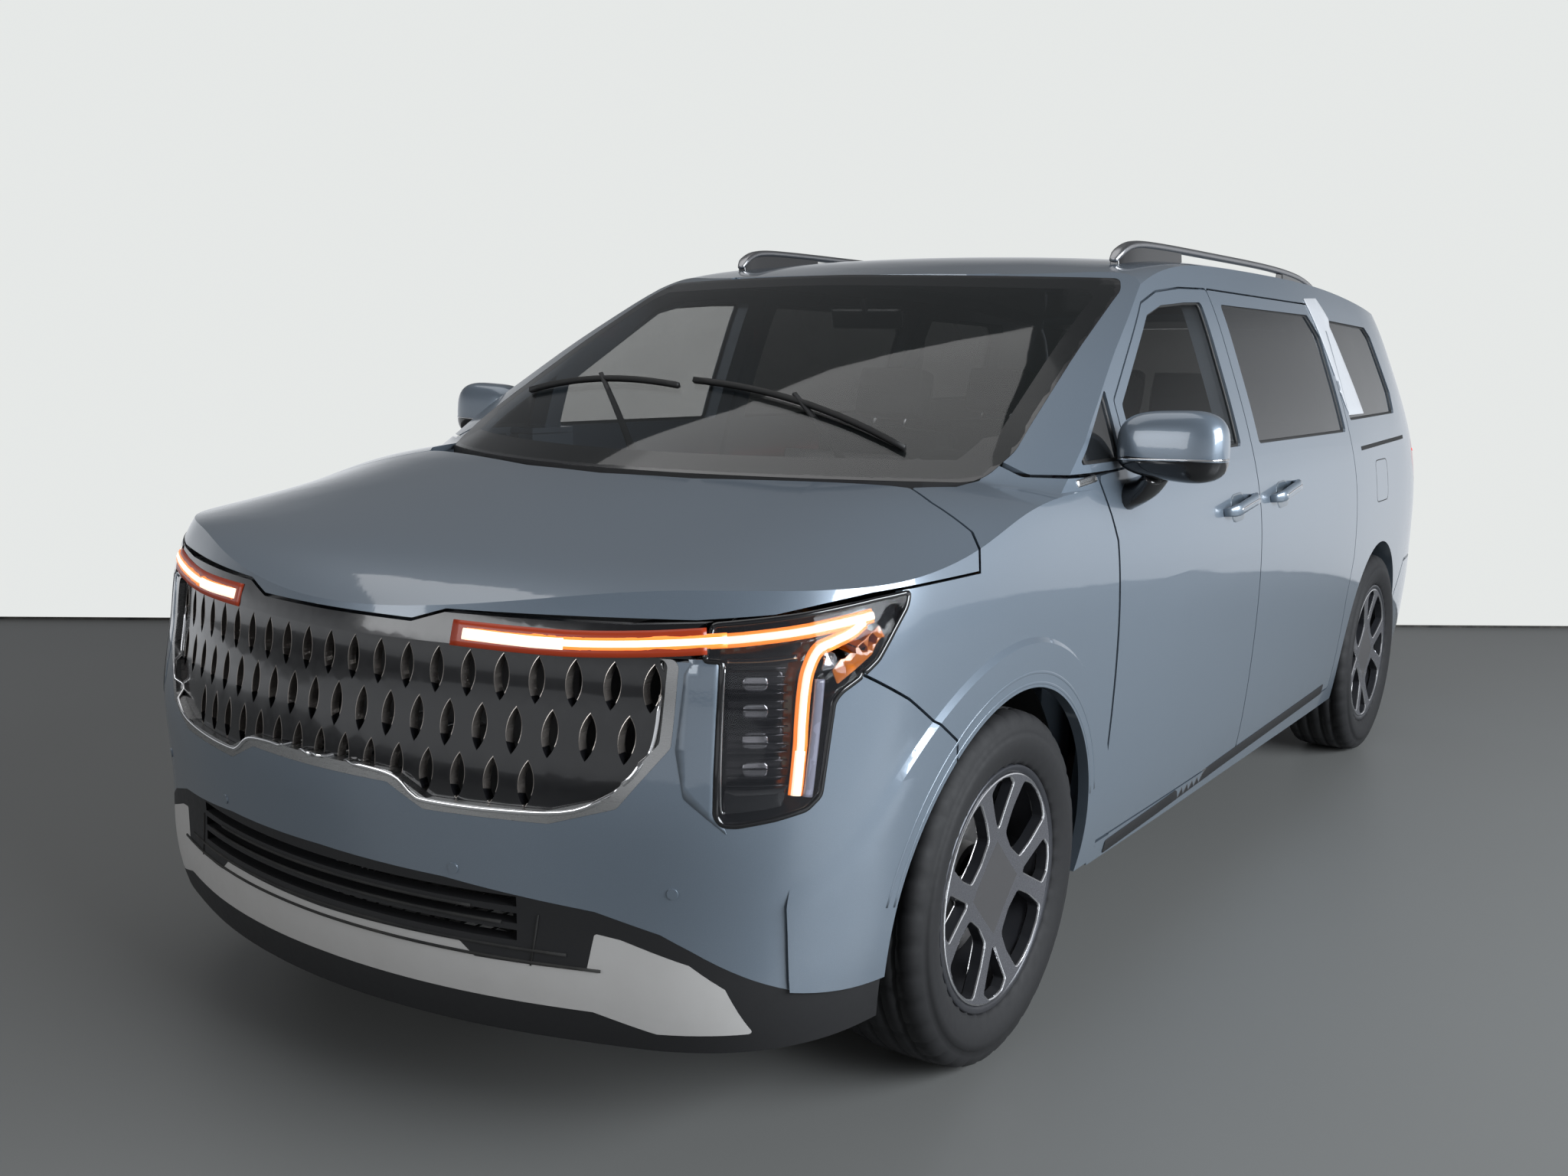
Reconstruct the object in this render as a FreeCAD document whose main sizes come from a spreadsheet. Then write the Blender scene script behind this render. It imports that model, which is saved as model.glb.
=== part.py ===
import FreeCAD
import Part
import Sketcher
import math
import os
from FreeCAD import Rotation, Vector

# Minivan. X is across with the vehicle's left at +X, the front faces -Y and the floor is Z = 0.
# Heights in the tables are shares of the overall height and widths are shares of the half width.
# Places along the body run -1 at the front end, 0 at the front axle, 1 at the rear axle, 2 at the rear end.

doc = FreeCAD.newDocument("Minivan")
sheet = doc.addObject("Spreadsheet::Sheet", "Sizes")

sizeRows = (
    ("overallWidth", 1995, "across the body, without mirrors"),
    ("overallHeight", 1775, "floor to the top of the roof rails"),
    ("wheelbase", 3090, "front axle to rear axle"),
    ("frontOverhang", 935, "front axle to the front end"),
    ("rearOverhang", 1130, "rear axle to the rear end"),
    ("track", 1740, "between the tyres' middles"),
    ("tyreRadius", 370, "outside radius of a tyre"),
    ("tyreWidth", 235, "section width of a tyre"),
    ("rimRadius", 246, "seat of the tyre on the rim"),
    ("rimWall", 9, "thickness of the rim barrel"),
    ("rimWidth", 205, "width of the rim at its flanges"),
    ("rimFace", 78, "wheel hub's face outside the wheel's middle"),
    ("rimDish", 46, "how far the wheel disc is dished"),
    ("hubRadius", 72, "flat middle of the wheel"),
    ("discRadius", 165, "brake disc"),
    ("discThick", 26, "brake disc"),
    ("discSet", 30, "brake disc inside the wheel's middle"),
    ("tyreShoulder", 22, "rounding of the tyre's shoulders"),
    ("archRadius", 421, "wheel arch opening"),
    ("archLift", 0, "arch centre above the wheel centre"),
    ("houseRadius", 455, "wheel house inside the body"),
    ("houseInner", 545, "wheel house wall from the centre plane"),
    ("flareBand", 105, "width of the flare round an arch"),
    ("flareProud", 9, "how far a flare stands out"),
    ("flareSlope", 30, "run of the flare's outer edge"),
    ("skin", 16, "outer skin of a panel"),
    ("doorDepth", 62, "whole thickness of a door"),
    ("frameDepth", 78, "whole thickness of a pillar or sill"),
    ("panelGap", 5.5, "between neighbouring panels"),
    ("rebate", 24, "step round a door behind its skin"),
    ("glassThick", 6, "side and rear glass"),
    ("glassSet", 9, "glass behind the skin"),
    ("screenThick", 7, "windscreen"),
    ("frontBow", 330, "rounding of the nose at the half width"),
    ("rearBow", 175, "rounding of the tail at the half width"),
    ("screenBow", 440, "rounding of the windscreen base at the half width"),
    ("frontCorner", 240, "reach of the front corner rounding"),
    ("rearCorner", 240, "reach of the rear corner rounding"),
    ("shoulderStart", 640, "where the hood starts to roll over"),
    ("shoulderDrop", 62, "roll over of the hood at the half width"),
    ("roofEdge", 680, "where the roof starts to roll over"),
    ("roofEdgeDrop", 470, "roll over of the roof at the half width"),
    ("roofCrown", 52, "crown of the roof at the half width"),
    ("floorHeight", 275, "floor's underside above the ground"),
    ("floorThick", 32, "floor"),
    ("sillSet", 30, "floor's edge inside the sills"),
    ("linerWall", 6, "wheel house sheet"),
    ("armRoom", 190, "opening in a wheel house for its axle and arms"),
    ("railWide", 80, "front rail section"),
    ("railPlace", 400, "front rails from the centre plane"),
    ("strutRadius", 26, "strut tube"),
    ("springRadius", 62, "spring and its seats"),
    ("uprightWide", 70, "front upright along the vehicle"),
    ("steerArm", 150, "steering arm behind the front axle"),
    ("beamRadius", 32, "rear axle beam"),
    ("exhaustPipe", 26, "exhaust pipe radius"),
    ("exhaustPlace", 190, "exhaust from the centre plane"),
    ("engineWide", 640, "engine and gearbox, across"),
    ("engineLong", 520, "engine, along the vehicle"),
    ("engineTall", 560, "engine"),
    ("engineEase", 30, "eased edges of the engine and the tank"),
    ("enginePlace", 579.4, "engine's front ahead of the front axle"),
    ("tankWide", 560, "fuel tank, across"),
    ("tankLong", 700, "fuel tank, along the vehicle"),
    ("tankTall", 105, "fuel tank"),
    ("tankPlace", 1700, "tank's front ahead of the rear axle"),
    ("seatThick", 120, "seat cushions"),
    ("seatDepth", 520, "seat cushion, along the vehicle"),
    ("seatBack", 640, "seat back"),
    ("seatWidth", 520, "one seat"),
    ("seatRise", 360, "top of a seat above the floor"),
    ("seatLean", 16, "degrees that a seat back leans"),
    ("seatPlace", 375, "front and second seats from the centre plane"),
    ("benchPlace", 268, "third seats from the centre plane"),
    ("consoleWidth", 260, "centre console"),
    ("columnTilt", 24, "degrees of the steering column from level"),
    ("columnLength", 300, "steering column behind the wheel"),
    ("columnRadius", 38, "steering column shroud"),
    ("wheelRimRadius", 180, "steering wheel"),
    ("wheelGrip", 15, "steering wheel rim's section radius"),
    ("railSpread", 1290, "between the roof rails' middles"),
    ("mirrorReach", 260, "door mirror head"),
    ("lampDepth", 46, "lamps behind the skin"),
    ("intakeWidth", 900, "slatted part of the lower intake"),
    ("intakeSlat", 12, "thickness of an intake slat"),
    ("intakeSlats", 3, "openings between the intake slats"),
    ("grillePitch", 66, "between the slits of one row"),
    ("grilleRow", 84, "height of a slit"),
    ("grilleSlit", 30, "width of a slit"),
    ("grilleBar", 6, "metal between the rows"),
    ("grilleThick", 18, "depth of the lattice"),
    ("doorHingeX", 955, "front door hinge line from the centre plane"),
    ("mirrorInner", 1010, "mirror head's inner side from the centre plane"),
    ("railThick", 26, "roof rail section"),
    ("kingpinTilt", 13.2, "degrees of the steering axis from upright"),
    ("kingpinFoot", 815, "steering axis at the floor, from the centre plane"),
    ("seatGap", 0.3, "between pieces that seat on each other"),
    ("runGap", 0.05, "round a turning shaft"),
    ("hingeGap", 6.5, "in front of the front doors"),
    ("hingePin", 6, "radius of the hinge pins"),
    ("hingeTall", 60, "height of one hinge"),
    ("stubRadius", 30, "stub axle"),
    ("ballRadius", 17, "lower ball joint"),
    ("pillarInner", 780, "hinge pillar's inner face from the centre plane"),
    ("hoodHingePlace", 695, "hood hinges from the centre plane"),
    ("apronWide", 50, "upper rail that carries the hood hinges"),
    ("gateHingePlace", 250, "tailgate hinges from the centre plane"),
    ("gatePin", 3.5, "radius of the tailgate's hinge pins"),
    ("gateSlot", 16, "between the roof and the tailgate"),
    ("hanger", 8, "radius of the exhaust hangers"),
    ("frontHouse", 505, "front wheel house wall from the centre plane"),
    ("overrun", 40, "how far a cut runs past a face"),
)

for rowNumber, (alias, value, note) in enumerate(sizeRows, start=1):
    sheet.set("A%d" % rowNumber, note)
    sheet.set("B%d" % rowNumber, str(value))
    sheet.setAlias("B%d" % rowNumber, alias)
doc.recompute()


def size(alias):
    return float(sheet.get(alias))


halfWidth = size("overallWidth") / 2
height = size("overallHeight")
bodyLength = size("frontOverhang") + size("wheelbase") + size("rearOverhang")
frontEnd = -bodyLength / 2
rearEnd = bodyLength / 2
frontAxle = frontEnd + size("frontOverhang")
rearAxle = frontAxle + size("wheelbase")
gap = size("panelGap")
skin = size("skin")
overrun = size("overrun")

xAxis = Vector(1, 0, 0)
yAxis = Vector(0, 1, 0)
zAxis = Vector(0, 0, 1)
centre = Vector(0, 0, 0)


def place(station):
    """The Y of a place along the body."""
    if station < 0:
        return frontAxle + station * size("frontOverhang")
    if station > 1:
        return rearAxle + (station - 1) * size("rearOverhang")
    return frontAxle + station * size("wheelbase")


def station(y):
    """The place along the body of a Y."""
    if y < frontAxle:
        return (y - frontAxle) / size("frontOverhang")
    if y > rearAxle:
        return 1 + (y - rearAxle) / size("rearOverhang")
    return (y - frontAxle) / size("wheelbase")


def along(shares, at):
    """Smooth value of a table of shares at one place."""
    places = [row[0] for row in shares]
    values = [row[1] for row in shares]
    last = len(shares) - 1
    at = min(max(at, places[0]), places[last])
    step = 0
    while step < last - 1 and at > places[step + 1]:
        step += 1

    def slope(index):
        low = max(index - 1, 0)
        high = min(index + 1, last)
        return (values[high] - values[low]) / (places[high] - places[low])

    run = places[step + 1] - places[step]
    t = (at - places[step]) / run
    rise = values[step + 1] - values[step]
    start = slope(step) * run
    end = slope(step + 1) * run
    return values[step] + t * start + t * t * (3 * rise - 2 * start - end) + t ** 3 * (start + end - 2 * rise)


def spacing(points):
    """Parameters of a row of points, by the distance between them."""
    total = [0.0]
    for first, second in zip(points, points[1:]):
        total.append(total[-1] + first.distanceToPoint(second))
    return [value / total[-1] for value in total]


def smoothFace(rows, closed=False):
    """A face through a grid of points, curvature continuous both ways."""
    middle = len(rows) // 2
    across = spacing(rows[middle])
    upward = spacing([row[len(row) // 3] for row in rows])
    curves = []
    for row in rows:
        curve = Part.BSplineCurve()
        if closed:
            curve.interpolate(Points=row[:-1], PeriodicFlag=True, Parameters=across)
        else:
            curve.interpolate(Points=row, Parameters=across)
        curves.append(curve)
    poles = []
    for column in zip(*[curve.getPoles() for curve in curves]):
        riser = Part.BSplineCurve()
        riser.interpolate(Points=list(column), Parameters=upward)
        poles.append(riser.getPoles())
    surface = Part.BSplineSurface()
    surface.buildFromPolesMultsKnots(
        poles, curves[0].getMultiplicities(), riser.getMultiplicities(), curves[0].getKnots(),
        riser.getKnots(), closed, False, curves[0].Degree, riser.Degree)
    return surface.toShape()


def mirrored(shape):
    return shape.mirror(centre, xAxis)


def onlySolid(shape):
    """The largest solid of a result."""
    return max(shape.Solids, key=lambda solid: solid.Volume)


# The envelope of the body

widthShares = (
    (0.085, 0.915), (0.141, 0.945), (0.197, 0.966), (0.270, 0.982), (0.360, 0.994), (0.460, 1.000),
    (0.540, 0.996), (0.608, 0.981), (0.676, 0.952), (0.744, 0.914), (0.817, 0.868), (0.890, 0.818),
    (0.946, 0.768), (1.014, 0.690),
)
taperShares = (
    (-1.131, 0.905), (-0.757, 0.950), (-0.489, 0.976), (-0.222, 0.990), (0.030, 0.997), (0.208, 1.000),
    (0.532, 1.000), (0.823, 0.998), (0.985, 0.991), (1.356, 0.972), (1.710, 0.938), (2.108, 0.880),
)
# Setback of the nose and the tail, as shares of the overhangs
noseShares = (
    (0.085, 0.085), (0.141, 0.027), (0.197, 0.011), (0.240, 0.013), (0.290, 0.010), (0.350, 0.000),
    (0.394, 0.006), (0.450, 0.024), (0.507, 0.043), (0.541, 0.055), (0.592, 0.110), (0.676, 0.240),
    (0.817, 0.420), (1.014, 0.600),
)
tailShares = (
    (0.085, 0.070), (0.169, 0.011), (0.282, 0.000), (0.349, 0.007), (0.394, 0.040), (0.507, 0.050),
    (0.620, 0.064), (0.676, 0.082), (0.789, 0.150), (0.901, 0.230), (0.946, 0.265), (1.014, 0.325),
)
levelShares = (0.085, 0.141, 0.197, 0.254, 0.310, 0.366, 0.423, 0.479, 0.535, 0.592, 0.676, 0.744,
               0.817, 0.890, 0.946, 1.014)
sideStepShares = (0.14, 0.30, 0.46, 0.62, 0.77, 0.89)
cornerStepShares = (0.0, 0.25, 0.5, 0.75, 1.0)
faceStepShares = (0.86, 0.6, 0.3)


def sideX(y, z, inset=0):
    return halfWidth * along(widthShares, z / height) * along(taperShares, station(y)) - inset


def noseY(x, z, inset=0):
    setback = size("frontOverhang") * along(noseShares, z / height)
    return frontEnd + setback + size("frontBow") * (x / halfWidth) ** 2 + inset


def tailY(x, z, inset=0):
    setback = size("rearOverhang") * along(tailShares, z / height)
    return rearEnd - setback - size("rearBow") * (x / halfWidth) ** 2 - inset


def cornerPoints(faceY, z, inset, reach, way):
    """Rounded corner between a nose or tail curve and the side, from the face to the side."""
    x = sideX(faceY(halfWidth, z, inset), z, inset)
    for turn in range(6):
        y = faceY(x, z, inset)
        x = sideX(y, z, inset)
    corner = Vector(x, faceY(x, z, inset), z)
    faceX = x - reach * 0.8
    start = Vector(faceX, faceY(faceX, z, inset), z)
    sideAt = corner.y + way * reach
    end = Vector(sideX(sideAt, z, inset), sideAt, z)
    points = []
    for t in cornerStepShares:
        points.append(start * (1 - t) ** 2 + corner * (2 * t * (1 - t)) + end * t ** 2)
    return points


def ringPoints(z, inset):
    """Closed outline of the body at one height, from the tail's middle round the left side."""
    reach = max(size("frontCorner") - inset, skin)
    front = cornerPoints(noseY, z, inset, reach, 1)
    reach = max(size("rearCorner") - inset, skin)
    rear = cornerPoints(tailY, z, inset, reach, -1)
    half = [Vector(0, noseY(0, z, inset), z)]
    for share in reversed(faceStepShares):
        x = front[0].x * share
        half.append(Vector(x, noseY(x, z, inset), z))
    half += front
    for share in sideStepShares:
        y = front[-1].y + share * (rear[-1].y - front[-1].y)
        half.append(Vector(sideX(y, z, inset), y, z))
    half += reversed(rear)
    for share in faceStepShares:
        x = rear[0].x * share
        half.append(Vector(x, tailY(x, z, inset), z))
    half.append(Vector(0, tailY(0, z, inset), z))
    other = [Vector(-p.x, p.y, p.z) for p in half[1:-1]]
    return list(reversed(half)) + other + [half[-1]]


def ringSolid(inset):
    wall = smoothFace([ringPoints(share * height, inset) for share in levelShares], closed=True)
    ends = []
    for edge in wall.Edges:
        if edge.BoundBox.ZLength < gap:
            ends.append(Part.Face(Part.Wire([edge])))
    shell = Part.makeShell([wall] + ends)
    shell.sewShape()
    solid = Part.makeSolid(shell)
    if solid.Volume < 0:
        solid.reverse()
    return solid


# Centre-line heights of the hood, as shares of the height, and how much of the shoulder rolls over
hoodShares = (
    (-1.131, 0.480), (-0.980, 0.535), (-0.917, 0.556), (-0.810, 0.582), (-0.596, 0.609), (-0.382, 0.632),
    (-0.168, 0.655), (0.014, 0.674), (0.143, 0.684), (0.532, 0.692), (2.200, 0.692),
)
hoodCrownShares = (
    (-1.131, 0.300), (-0.596, 0.480), (-0.222, 0.680), (0.143, 0.500), (2.200, 0.500),
)
hoodColumnShares = (-1.15, -1.0, -0.9, -0.8, -0.68, -0.5, -0.25, 0, 0.25, 0.5, 0.68, 0.8, 0.9, 1.0, 1.15)
roofShares = (
    (-0.10, 0.800), (0.143, 0.873), (0.241, 0.917), (0.305, 0.938), (0.370, 0.959), (0.467, 0.979),
    (0.596, 0.986), (0.758, 0.986), (0.952, 0.978), (1.250, 0.960), (1.560, 0.937), (2.200, 0.880),
)
roofColumnShares = (-1.0, -0.86, -0.78, -0.70, -0.6, -0.45, -0.2, 0, 0.2, 0.45, 0.6, 0.70, 0.78, 0.86, 1.0)
# The windscreen's centre line, as height and place along the body
screenShares = (
    (0.520, -0.62), (0.592, -0.35), (0.640, -0.19), (0.672, -0.085), (0.716, 0.019), (0.760, 0.069),
    (0.817, 0.135), (0.873, 0.205), (0.915, 0.260), (0.938, 0.294), (0.958, 0.324), (1.050, 0.467),
)
screenBowShares = ((0.520, 1.0), (0.672, 1.0), (0.817, 0.90), (0.938, 0.80), (1.050, 0.78))
screenColumnShares = (-1.0, -0.9, -0.8, -0.6, -0.3, 0, 0.3, 0.6, 0.8, 0.9, 1.0)


def rollOver(x, start, drop, power):
    """Extra drop of a roof or hood beyond the line where its edge starts to turn."""
    past = max(abs(x) - start, 0) / (halfWidth - start)
    return drop * past ** power


def hoodZ(x, y):
    share = along(hoodCrownShares, station(y))
    crown = size("shoulderDrop") * share * (x / halfWidth) ** 2
    return height * along(hoodShares, station(y)) - crown - rollOver(
        x, size("shoulderStart"), size("shoulderDrop") * share, 2)


def roofZ(x, y):
    crown = size("roofCrown") * (x / halfWidth) ** 2
    return height * along(roofShares, station(y)) - crown - rollOver(
        x, size("roofEdge"), size("roofEdgeDrop"), 3)


def screenY(x, z):
    bow = size("screenBow") * along(screenBowShares, z / height) * (x / halfWidth) ** 2
    return place(along(screenShares, z / height)) + bow


def hoodSolid(inset):
    rows = []
    for at, level in hoodShares:
        y = place(at)
        rows.append([Vector(share * halfWidth, y, hoodZ(share * halfWidth, y) - inset)
                     for share in hoodColumnShares])
    return smoothFace(rows).extrude(Vector(0, 0, -height))


def roofSolid(inset):
    rows = []
    for at, level in roofShares:
        y = place(at)
        rows.append([Vector(share * halfWidth, y, roofZ(share * halfWidth, y) - inset)
                     for share in roofColumnShares])
    return smoothFace(rows).extrude(Vector(0, 0, -2 * height))


def screenSolid(inset):
    rows = []
    for level, at in screenShares:
        z = level * height
        rows.append([Vector(share * halfWidth, screenY(share * halfWidth, z) + inset, z)
                     for share in screenColumnShares])
    return smoothFace(rows).extrude(Vector(0, 2 * bodyLength, 0))


def bodySolid(inset):
    """The whole body's outer form, set in by one thickness."""
    ring = ringSolid(inset)
    cabin = ring.common(roofSolid(inset)).common(screenSolid(inset))
    return ring.common(hoodSolid(inset)).fuse(cabin)


# Outlines and cutters

def rounded(points, radius):
    """A closed wire through points, its corners rounded as far as its sides allow."""
    edges = []
    starts = []
    ends = []
    arcs = []
    for index, point in enumerate(points):
        before = points[index - 1] - point
        after = points[(index + 1) % len(points)] - point
        half = before.getAngle(after) / 2
        if half > math.radians(86):
            starts.append(point)
            ends.append(point)
            arcs.append(None)
            continue
        cut = min(radius / math.tan(half), 0.45 * before.Length, 0.45 * after.Length)
        before.normalize()
        after.normalize()
        bisector = (before + after).normalize()
        reach = cut / math.cos(half) - cut * math.tan(half)
        starts.append(point + before * cut)
        ends.append(point + after * cut)
        arcs.append(point + bisector * reach)
    for index, point in enumerate(points):
        edges.append(Part.makeLine(ends[index - 1], starts[index]))
        if arcs[index]:
            edges.append(Part.Arc(starts[index], arcs[index], ends[index]).toShape())
    return Part.Wire(edges)


def prism(wire, shift, along):
    """A solid from a closed wire, grown by a shift and run along a vector."""
    if shift:
        grown = wire.makeOffset2D(shift)
        if (Part.Face(grown).Area > Part.Face(wire).Area) != (shift > 0):
            grown = wire.makeOffset2D(-shift)
        wire = grown
    return Part.Face(wire).extrude(along)


def sidePrism(shares, radius, fromX, toX, shift=0):
    """Cut through one side, its outline given as places along the body and heights."""
    points = [Vector(fromX, place(at), level * height) for at, level in shares]
    return prism(rounded(points, radius), shift, Vector(toX - fromX, 0, 0))


def frontPrism(shares, radius, fromY, toY, shift=0):
    """Cut along the body, its outline given as widths and heights."""
    points = [Vector(across * halfWidth, fromY, level * height) for across, level in shares]
    return prism(rounded(points, radius), shift, Vector(0, toY - fromY, 0))


def planPrism(shares, radius, fromZ, toZ, shift=0):
    """Cut up and down, its outline given as widths and places along the body."""
    points = [Vector(across * halfWidth, place(at), fromZ) for across, at in shares]
    return prism(rounded(points, radius), shift, Vector(0, 0, toZ - fromZ))


def bothSides(shares):
    """An outline given for the left half, closed over the middle."""
    other = [(-across, level) for across, level in reversed(shares) if across > 0]
    return list(shares) + other


def block(fromX, toX, fromY, toY, fromZ, toZ):
    return Part.makeBox(toX - fromX, toY - fromY, toZ - fromZ, Vector(fromX, fromY, fromZ))


def rod(start, end, radius):
    """A round bar between two points."""
    return Part.makeCylinder(radius, start.distanceToPoint(end), start, end - start)


parts = []


def node(name, shape):
    """A sub-part whose shape is set by this source."""
    if shape.ShapeType == "Compound" and len(shape.Solids) == 1:
        shape = shape.Solids[0]
    feature = doc.addObject("Part::Feature", name)
    feature.Label = name
    feature.Shape = shape
    parts.append(feature)
    return feature


def solids(*shapes):
    """Separate solids that share a sub-part."""
    found = []
    for shape in shapes:
        found += shape.Solids
    return Part.Compound(found)


outside = bodySolid(0)
behindSkin = bodySolid(skin)
behindGap = bodySolid(skin + gap)
behindDoor = bodySolid(size("doorDepth"))
inside = bodySolid(size("frameDepth"))
farLeft = halfWidth + overrun
wheelZ = size("tyreRadius")

frontDoorShares = (
    (0.166, 0.182), (0.166, 0.586), (0.159, 0.618), (0.145, 0.670), (0.208, 0.675), (0.208, 0.760),
    (0.324, 0.893), (0.368, 0.912), (0.430, 0.922), (0.506, 0.926), (0.506, 0.182),
)
frontGlassShares = (
    (0.222, 0.682), (0.222, 0.754), (0.328, 0.876), (0.368, 0.892), (0.430, 0.900), (0.476, 0.903),
    (0.476, 0.682),
)
sailGlassShares = (
    (0.120, 0.684), (0.196, 0.684), (0.196, 0.775),
)
slidingDoorShares = (
    (0.506, 0.182), (0.506, 0.926), (0.862, 0.922), (0.862, 0.440), (0.848, 0.360), (0.838, 0.182),
)
slidingGlassShares = ((0.530, 0.682), (0.530, 0.903), (0.822, 0.901), (0.846, 0.860), (0.848, 0.682))
quarterGlassShares = (
    (0.884, 0.896), (0.878, 0.702), (1.330, 0.706), (1.345, 0.750), (1.270, 0.868), (1.225, 0.888),
)
fenderShares = (
    (0.166, 0.160), (0.166, 0.586), (0.159, 0.618), (0.145, 0.668), (0.080, 0.671), (0.071, 0.760),
    (-0.120, 0.760), (-0.100, 0.690), (-0.244, 0.5998), (-0.432, 0.5966), (-0.444, 0.5652),
    (-0.535, 0.5328), (-0.653, 0.5232), (-0.431, 0.4754), (-0.278, 0.4182), (-0.230, 0.160),
)
bumperShares = (
    (-1.300, 0.800), (-0.607, 0.6045), (-0.615, 0.5273), (-0.436, 0.4755), (-0.283, 0.4183),
    (-0.200, 0.100), (-1.300, 0.100),
)
hoodLineShares = (
    (0.000, 0.543), (0.209, 0.5434), (0.276, 0.5556), (0.722, 0.5615), (0.832, 0.5683), (0.932, 0.5853),
    (1.003, 0.592), (1.200, 0.592), (1.200, 0.800), (0.000, 0.800),
)
hoodRearShares = (
    (0.000, -0.136), (0.250, -0.111), (0.500, -0.036), (0.680, 0.004), (0.720, 0.006), (0.800, -0.040),
    (0.870, -0.080), (0.930, -0.115), (0.985, -0.185), (1.200, -0.222), (1.200, -1.300),
    (0.000, -1.300),
)
grilleShares = (
    (0.000, 0.521), (0.692, 0.5247), (0.691, 0.4447), (0.619, 0.3895), (0.508, 0.3704), (0.281, 0.3682),
    (0.198, 0.3895), (0.000, 0.389),
)
lampBarShares = (
    (0.000, 0.5212), (0.744, 0.5258), (0.742, 0.5593), (0.618, 0.5541), (0.276, 0.5521),
    (0.209, 0.5399), (0.000, 0.5395),
)
headlampShares = (
    (0.727, 0.5586), (0.728, 0.4455), (0.808, 0.3758), (0.936, 0.3999), (0.966, 0.4386), (1.150, 0.480),
    (1.150, 0.589), (1.003, 0.588), (0.932, 0.5824), (0.832, 0.5653),
)
lampSideShares = (
    (-1.300, 0.610), (-0.432, 0.5966), (-0.450, 0.5702), (-0.535, 0.5367), (-0.644, 0.5252),
    (-0.700, 0.4584), (-0.700, 0.340), (-1.300, 0.340),
)
valanceShares = (
    (0.000, 0.290), (0.307, 0.287), (0.590, 0.272), (0.700, 0.255), (0.746, 0.2412), (0.878, 0.1955),
    (0.950, 0.1803), (1.200, 0.178), (1.200, 0.130), (0.000, 0.130),
)
skidShares = (
    (0.000, 0.220), (0.338, 0.2222), (0.369, 0.2087), (0.577, 0.210), (0.590, 0.2494), (0.634, 0.2459),
    (0.746, 0.2258), (0.798, 0.2017), (0.828, 0.1517), (0.690, 0.150), (0.585, 0.167), (0.000, 0.169),
)
screenShapeShares = (
    (0.000, 0.664), (0.800, 0.664), (0.822, 0.700), (0.764, 0.910), (0.735, 0.929), (0.000, 0.934),
)
roofPanelShares = ((0.000, 0.292), (0.350, 0.304), (0.690, 0.345), (0.690, 1.530), (0.000, 1.530))
liftgateShares = (
    (0.000, 0.378), (0.740, 0.378), (0.800, 0.430), (0.826, 0.541), (0.832, 0.640), (0.805, 0.690),
    (0.745, 0.800), (0.735, 0.860), (0.735, 1.050), (0.000, 1.050),
)
liftgateGlassShares = (
    (0.000, 0.662), (0.725, 0.662), (0.748, 0.690), (0.692, 0.800), (0.680, 0.850), (0.650, 0.884),
    (0.000, 0.890),
)
rearBumperShares = (
    (1.360, 0.100), (1.360, 0.300), (1.480, 0.372), (2.200, 0.372), (2.200, 0.100),
)
tailLampShares = (
    (0.840, 0.545), (1.100, 0.545), (1.100, 0.640), (0.842, 0.640),
)
tailSideShares = ((1.640, 0.545), (1.560, 0.600), (1.600, 0.640), (2.200, 0.640), (2.200, 0.545))

farFront = frontEnd - overrun
farRear = rearEnd + overrun
frontWrap = frontAxle - size("archRadius") / 2


def arch(axle, radius):
    """The round opening over one wheel, on the left side."""
    middle = Vector(0, axle, wheelZ + size("archLift"))
    return Part.makeCylinder(radius, farLeft, middle, xAxis)


def flare(axle):
    """The room of the proud band round an arch, its outer edge sloping back into the panel."""
    outer = size("archRadius") + size("flareBand")
    slope = size("flareSlope")
    middle = Vector(halfWidth - 4 * slope, axle, wheelZ + size("archLift"))
    reach = 4 * slope + size("flareProud")
    return Part.makeCone(outer + reach, outer - slope / 2, reach, middle, xAxis)


houseX = size("houseInner")
frontArch = arch(frontAxle, size("archRadius"))
rearArch = arch(rearAxle, size("archRadius"))
proud = bodySolid(-size("flareProud"))


def flared(panel, cutter, axle):
    """A panel with the flare of its arch grown on it."""
    band = cutter.common(flare(axle)).common(proud).cut(behindSkin)
    return panel.fuse(band)


seatGap = size("seatGap")


# Outer panels

hoodTop = height * 0.9
hoodFloor = height * 0.4


def hoodCutter(shift):
    """Everything of the hood's outline, shrunk or grown by a gap."""
    cutter = frontPrism(bothSides(hoodLineShares), skin, farFront, place(0.2), -shift)
    return cutter.common(planPrism(bothSides(hoodRearShares), skin, hoodFloor, hoodTop, -shift))


def hoodPanel():
    """Clamshell hood with the inner frame that stiffens it."""
    panel = hoodCutter(0).common(outside).cut(behindSkin)
    pin = size("hingePin")
    arms = []
    for side in (1, -1):
        spot = hoodHinge(side)
        bar = [Vector(spot.x - pin * 2, spot.y + along, spot.z + up) for along, up in (
            (0, -pin * 1.6), (0, pin * 1.2), (-pin * 7, 5 * pin), (-pin * 18, 5 * pin), (-pin * 18, 2 * pin))]
        arm = prism(rounded(bar, pin / 2), 0, Vector(pin * 4, 0, 0)).common(behindSkin)
        arms.append(arm.fuse(hingeEye(spot, pin)).cut(pinRoom(spot, pin)))
    return onlySolid(panel.fuse(arms))


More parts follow.
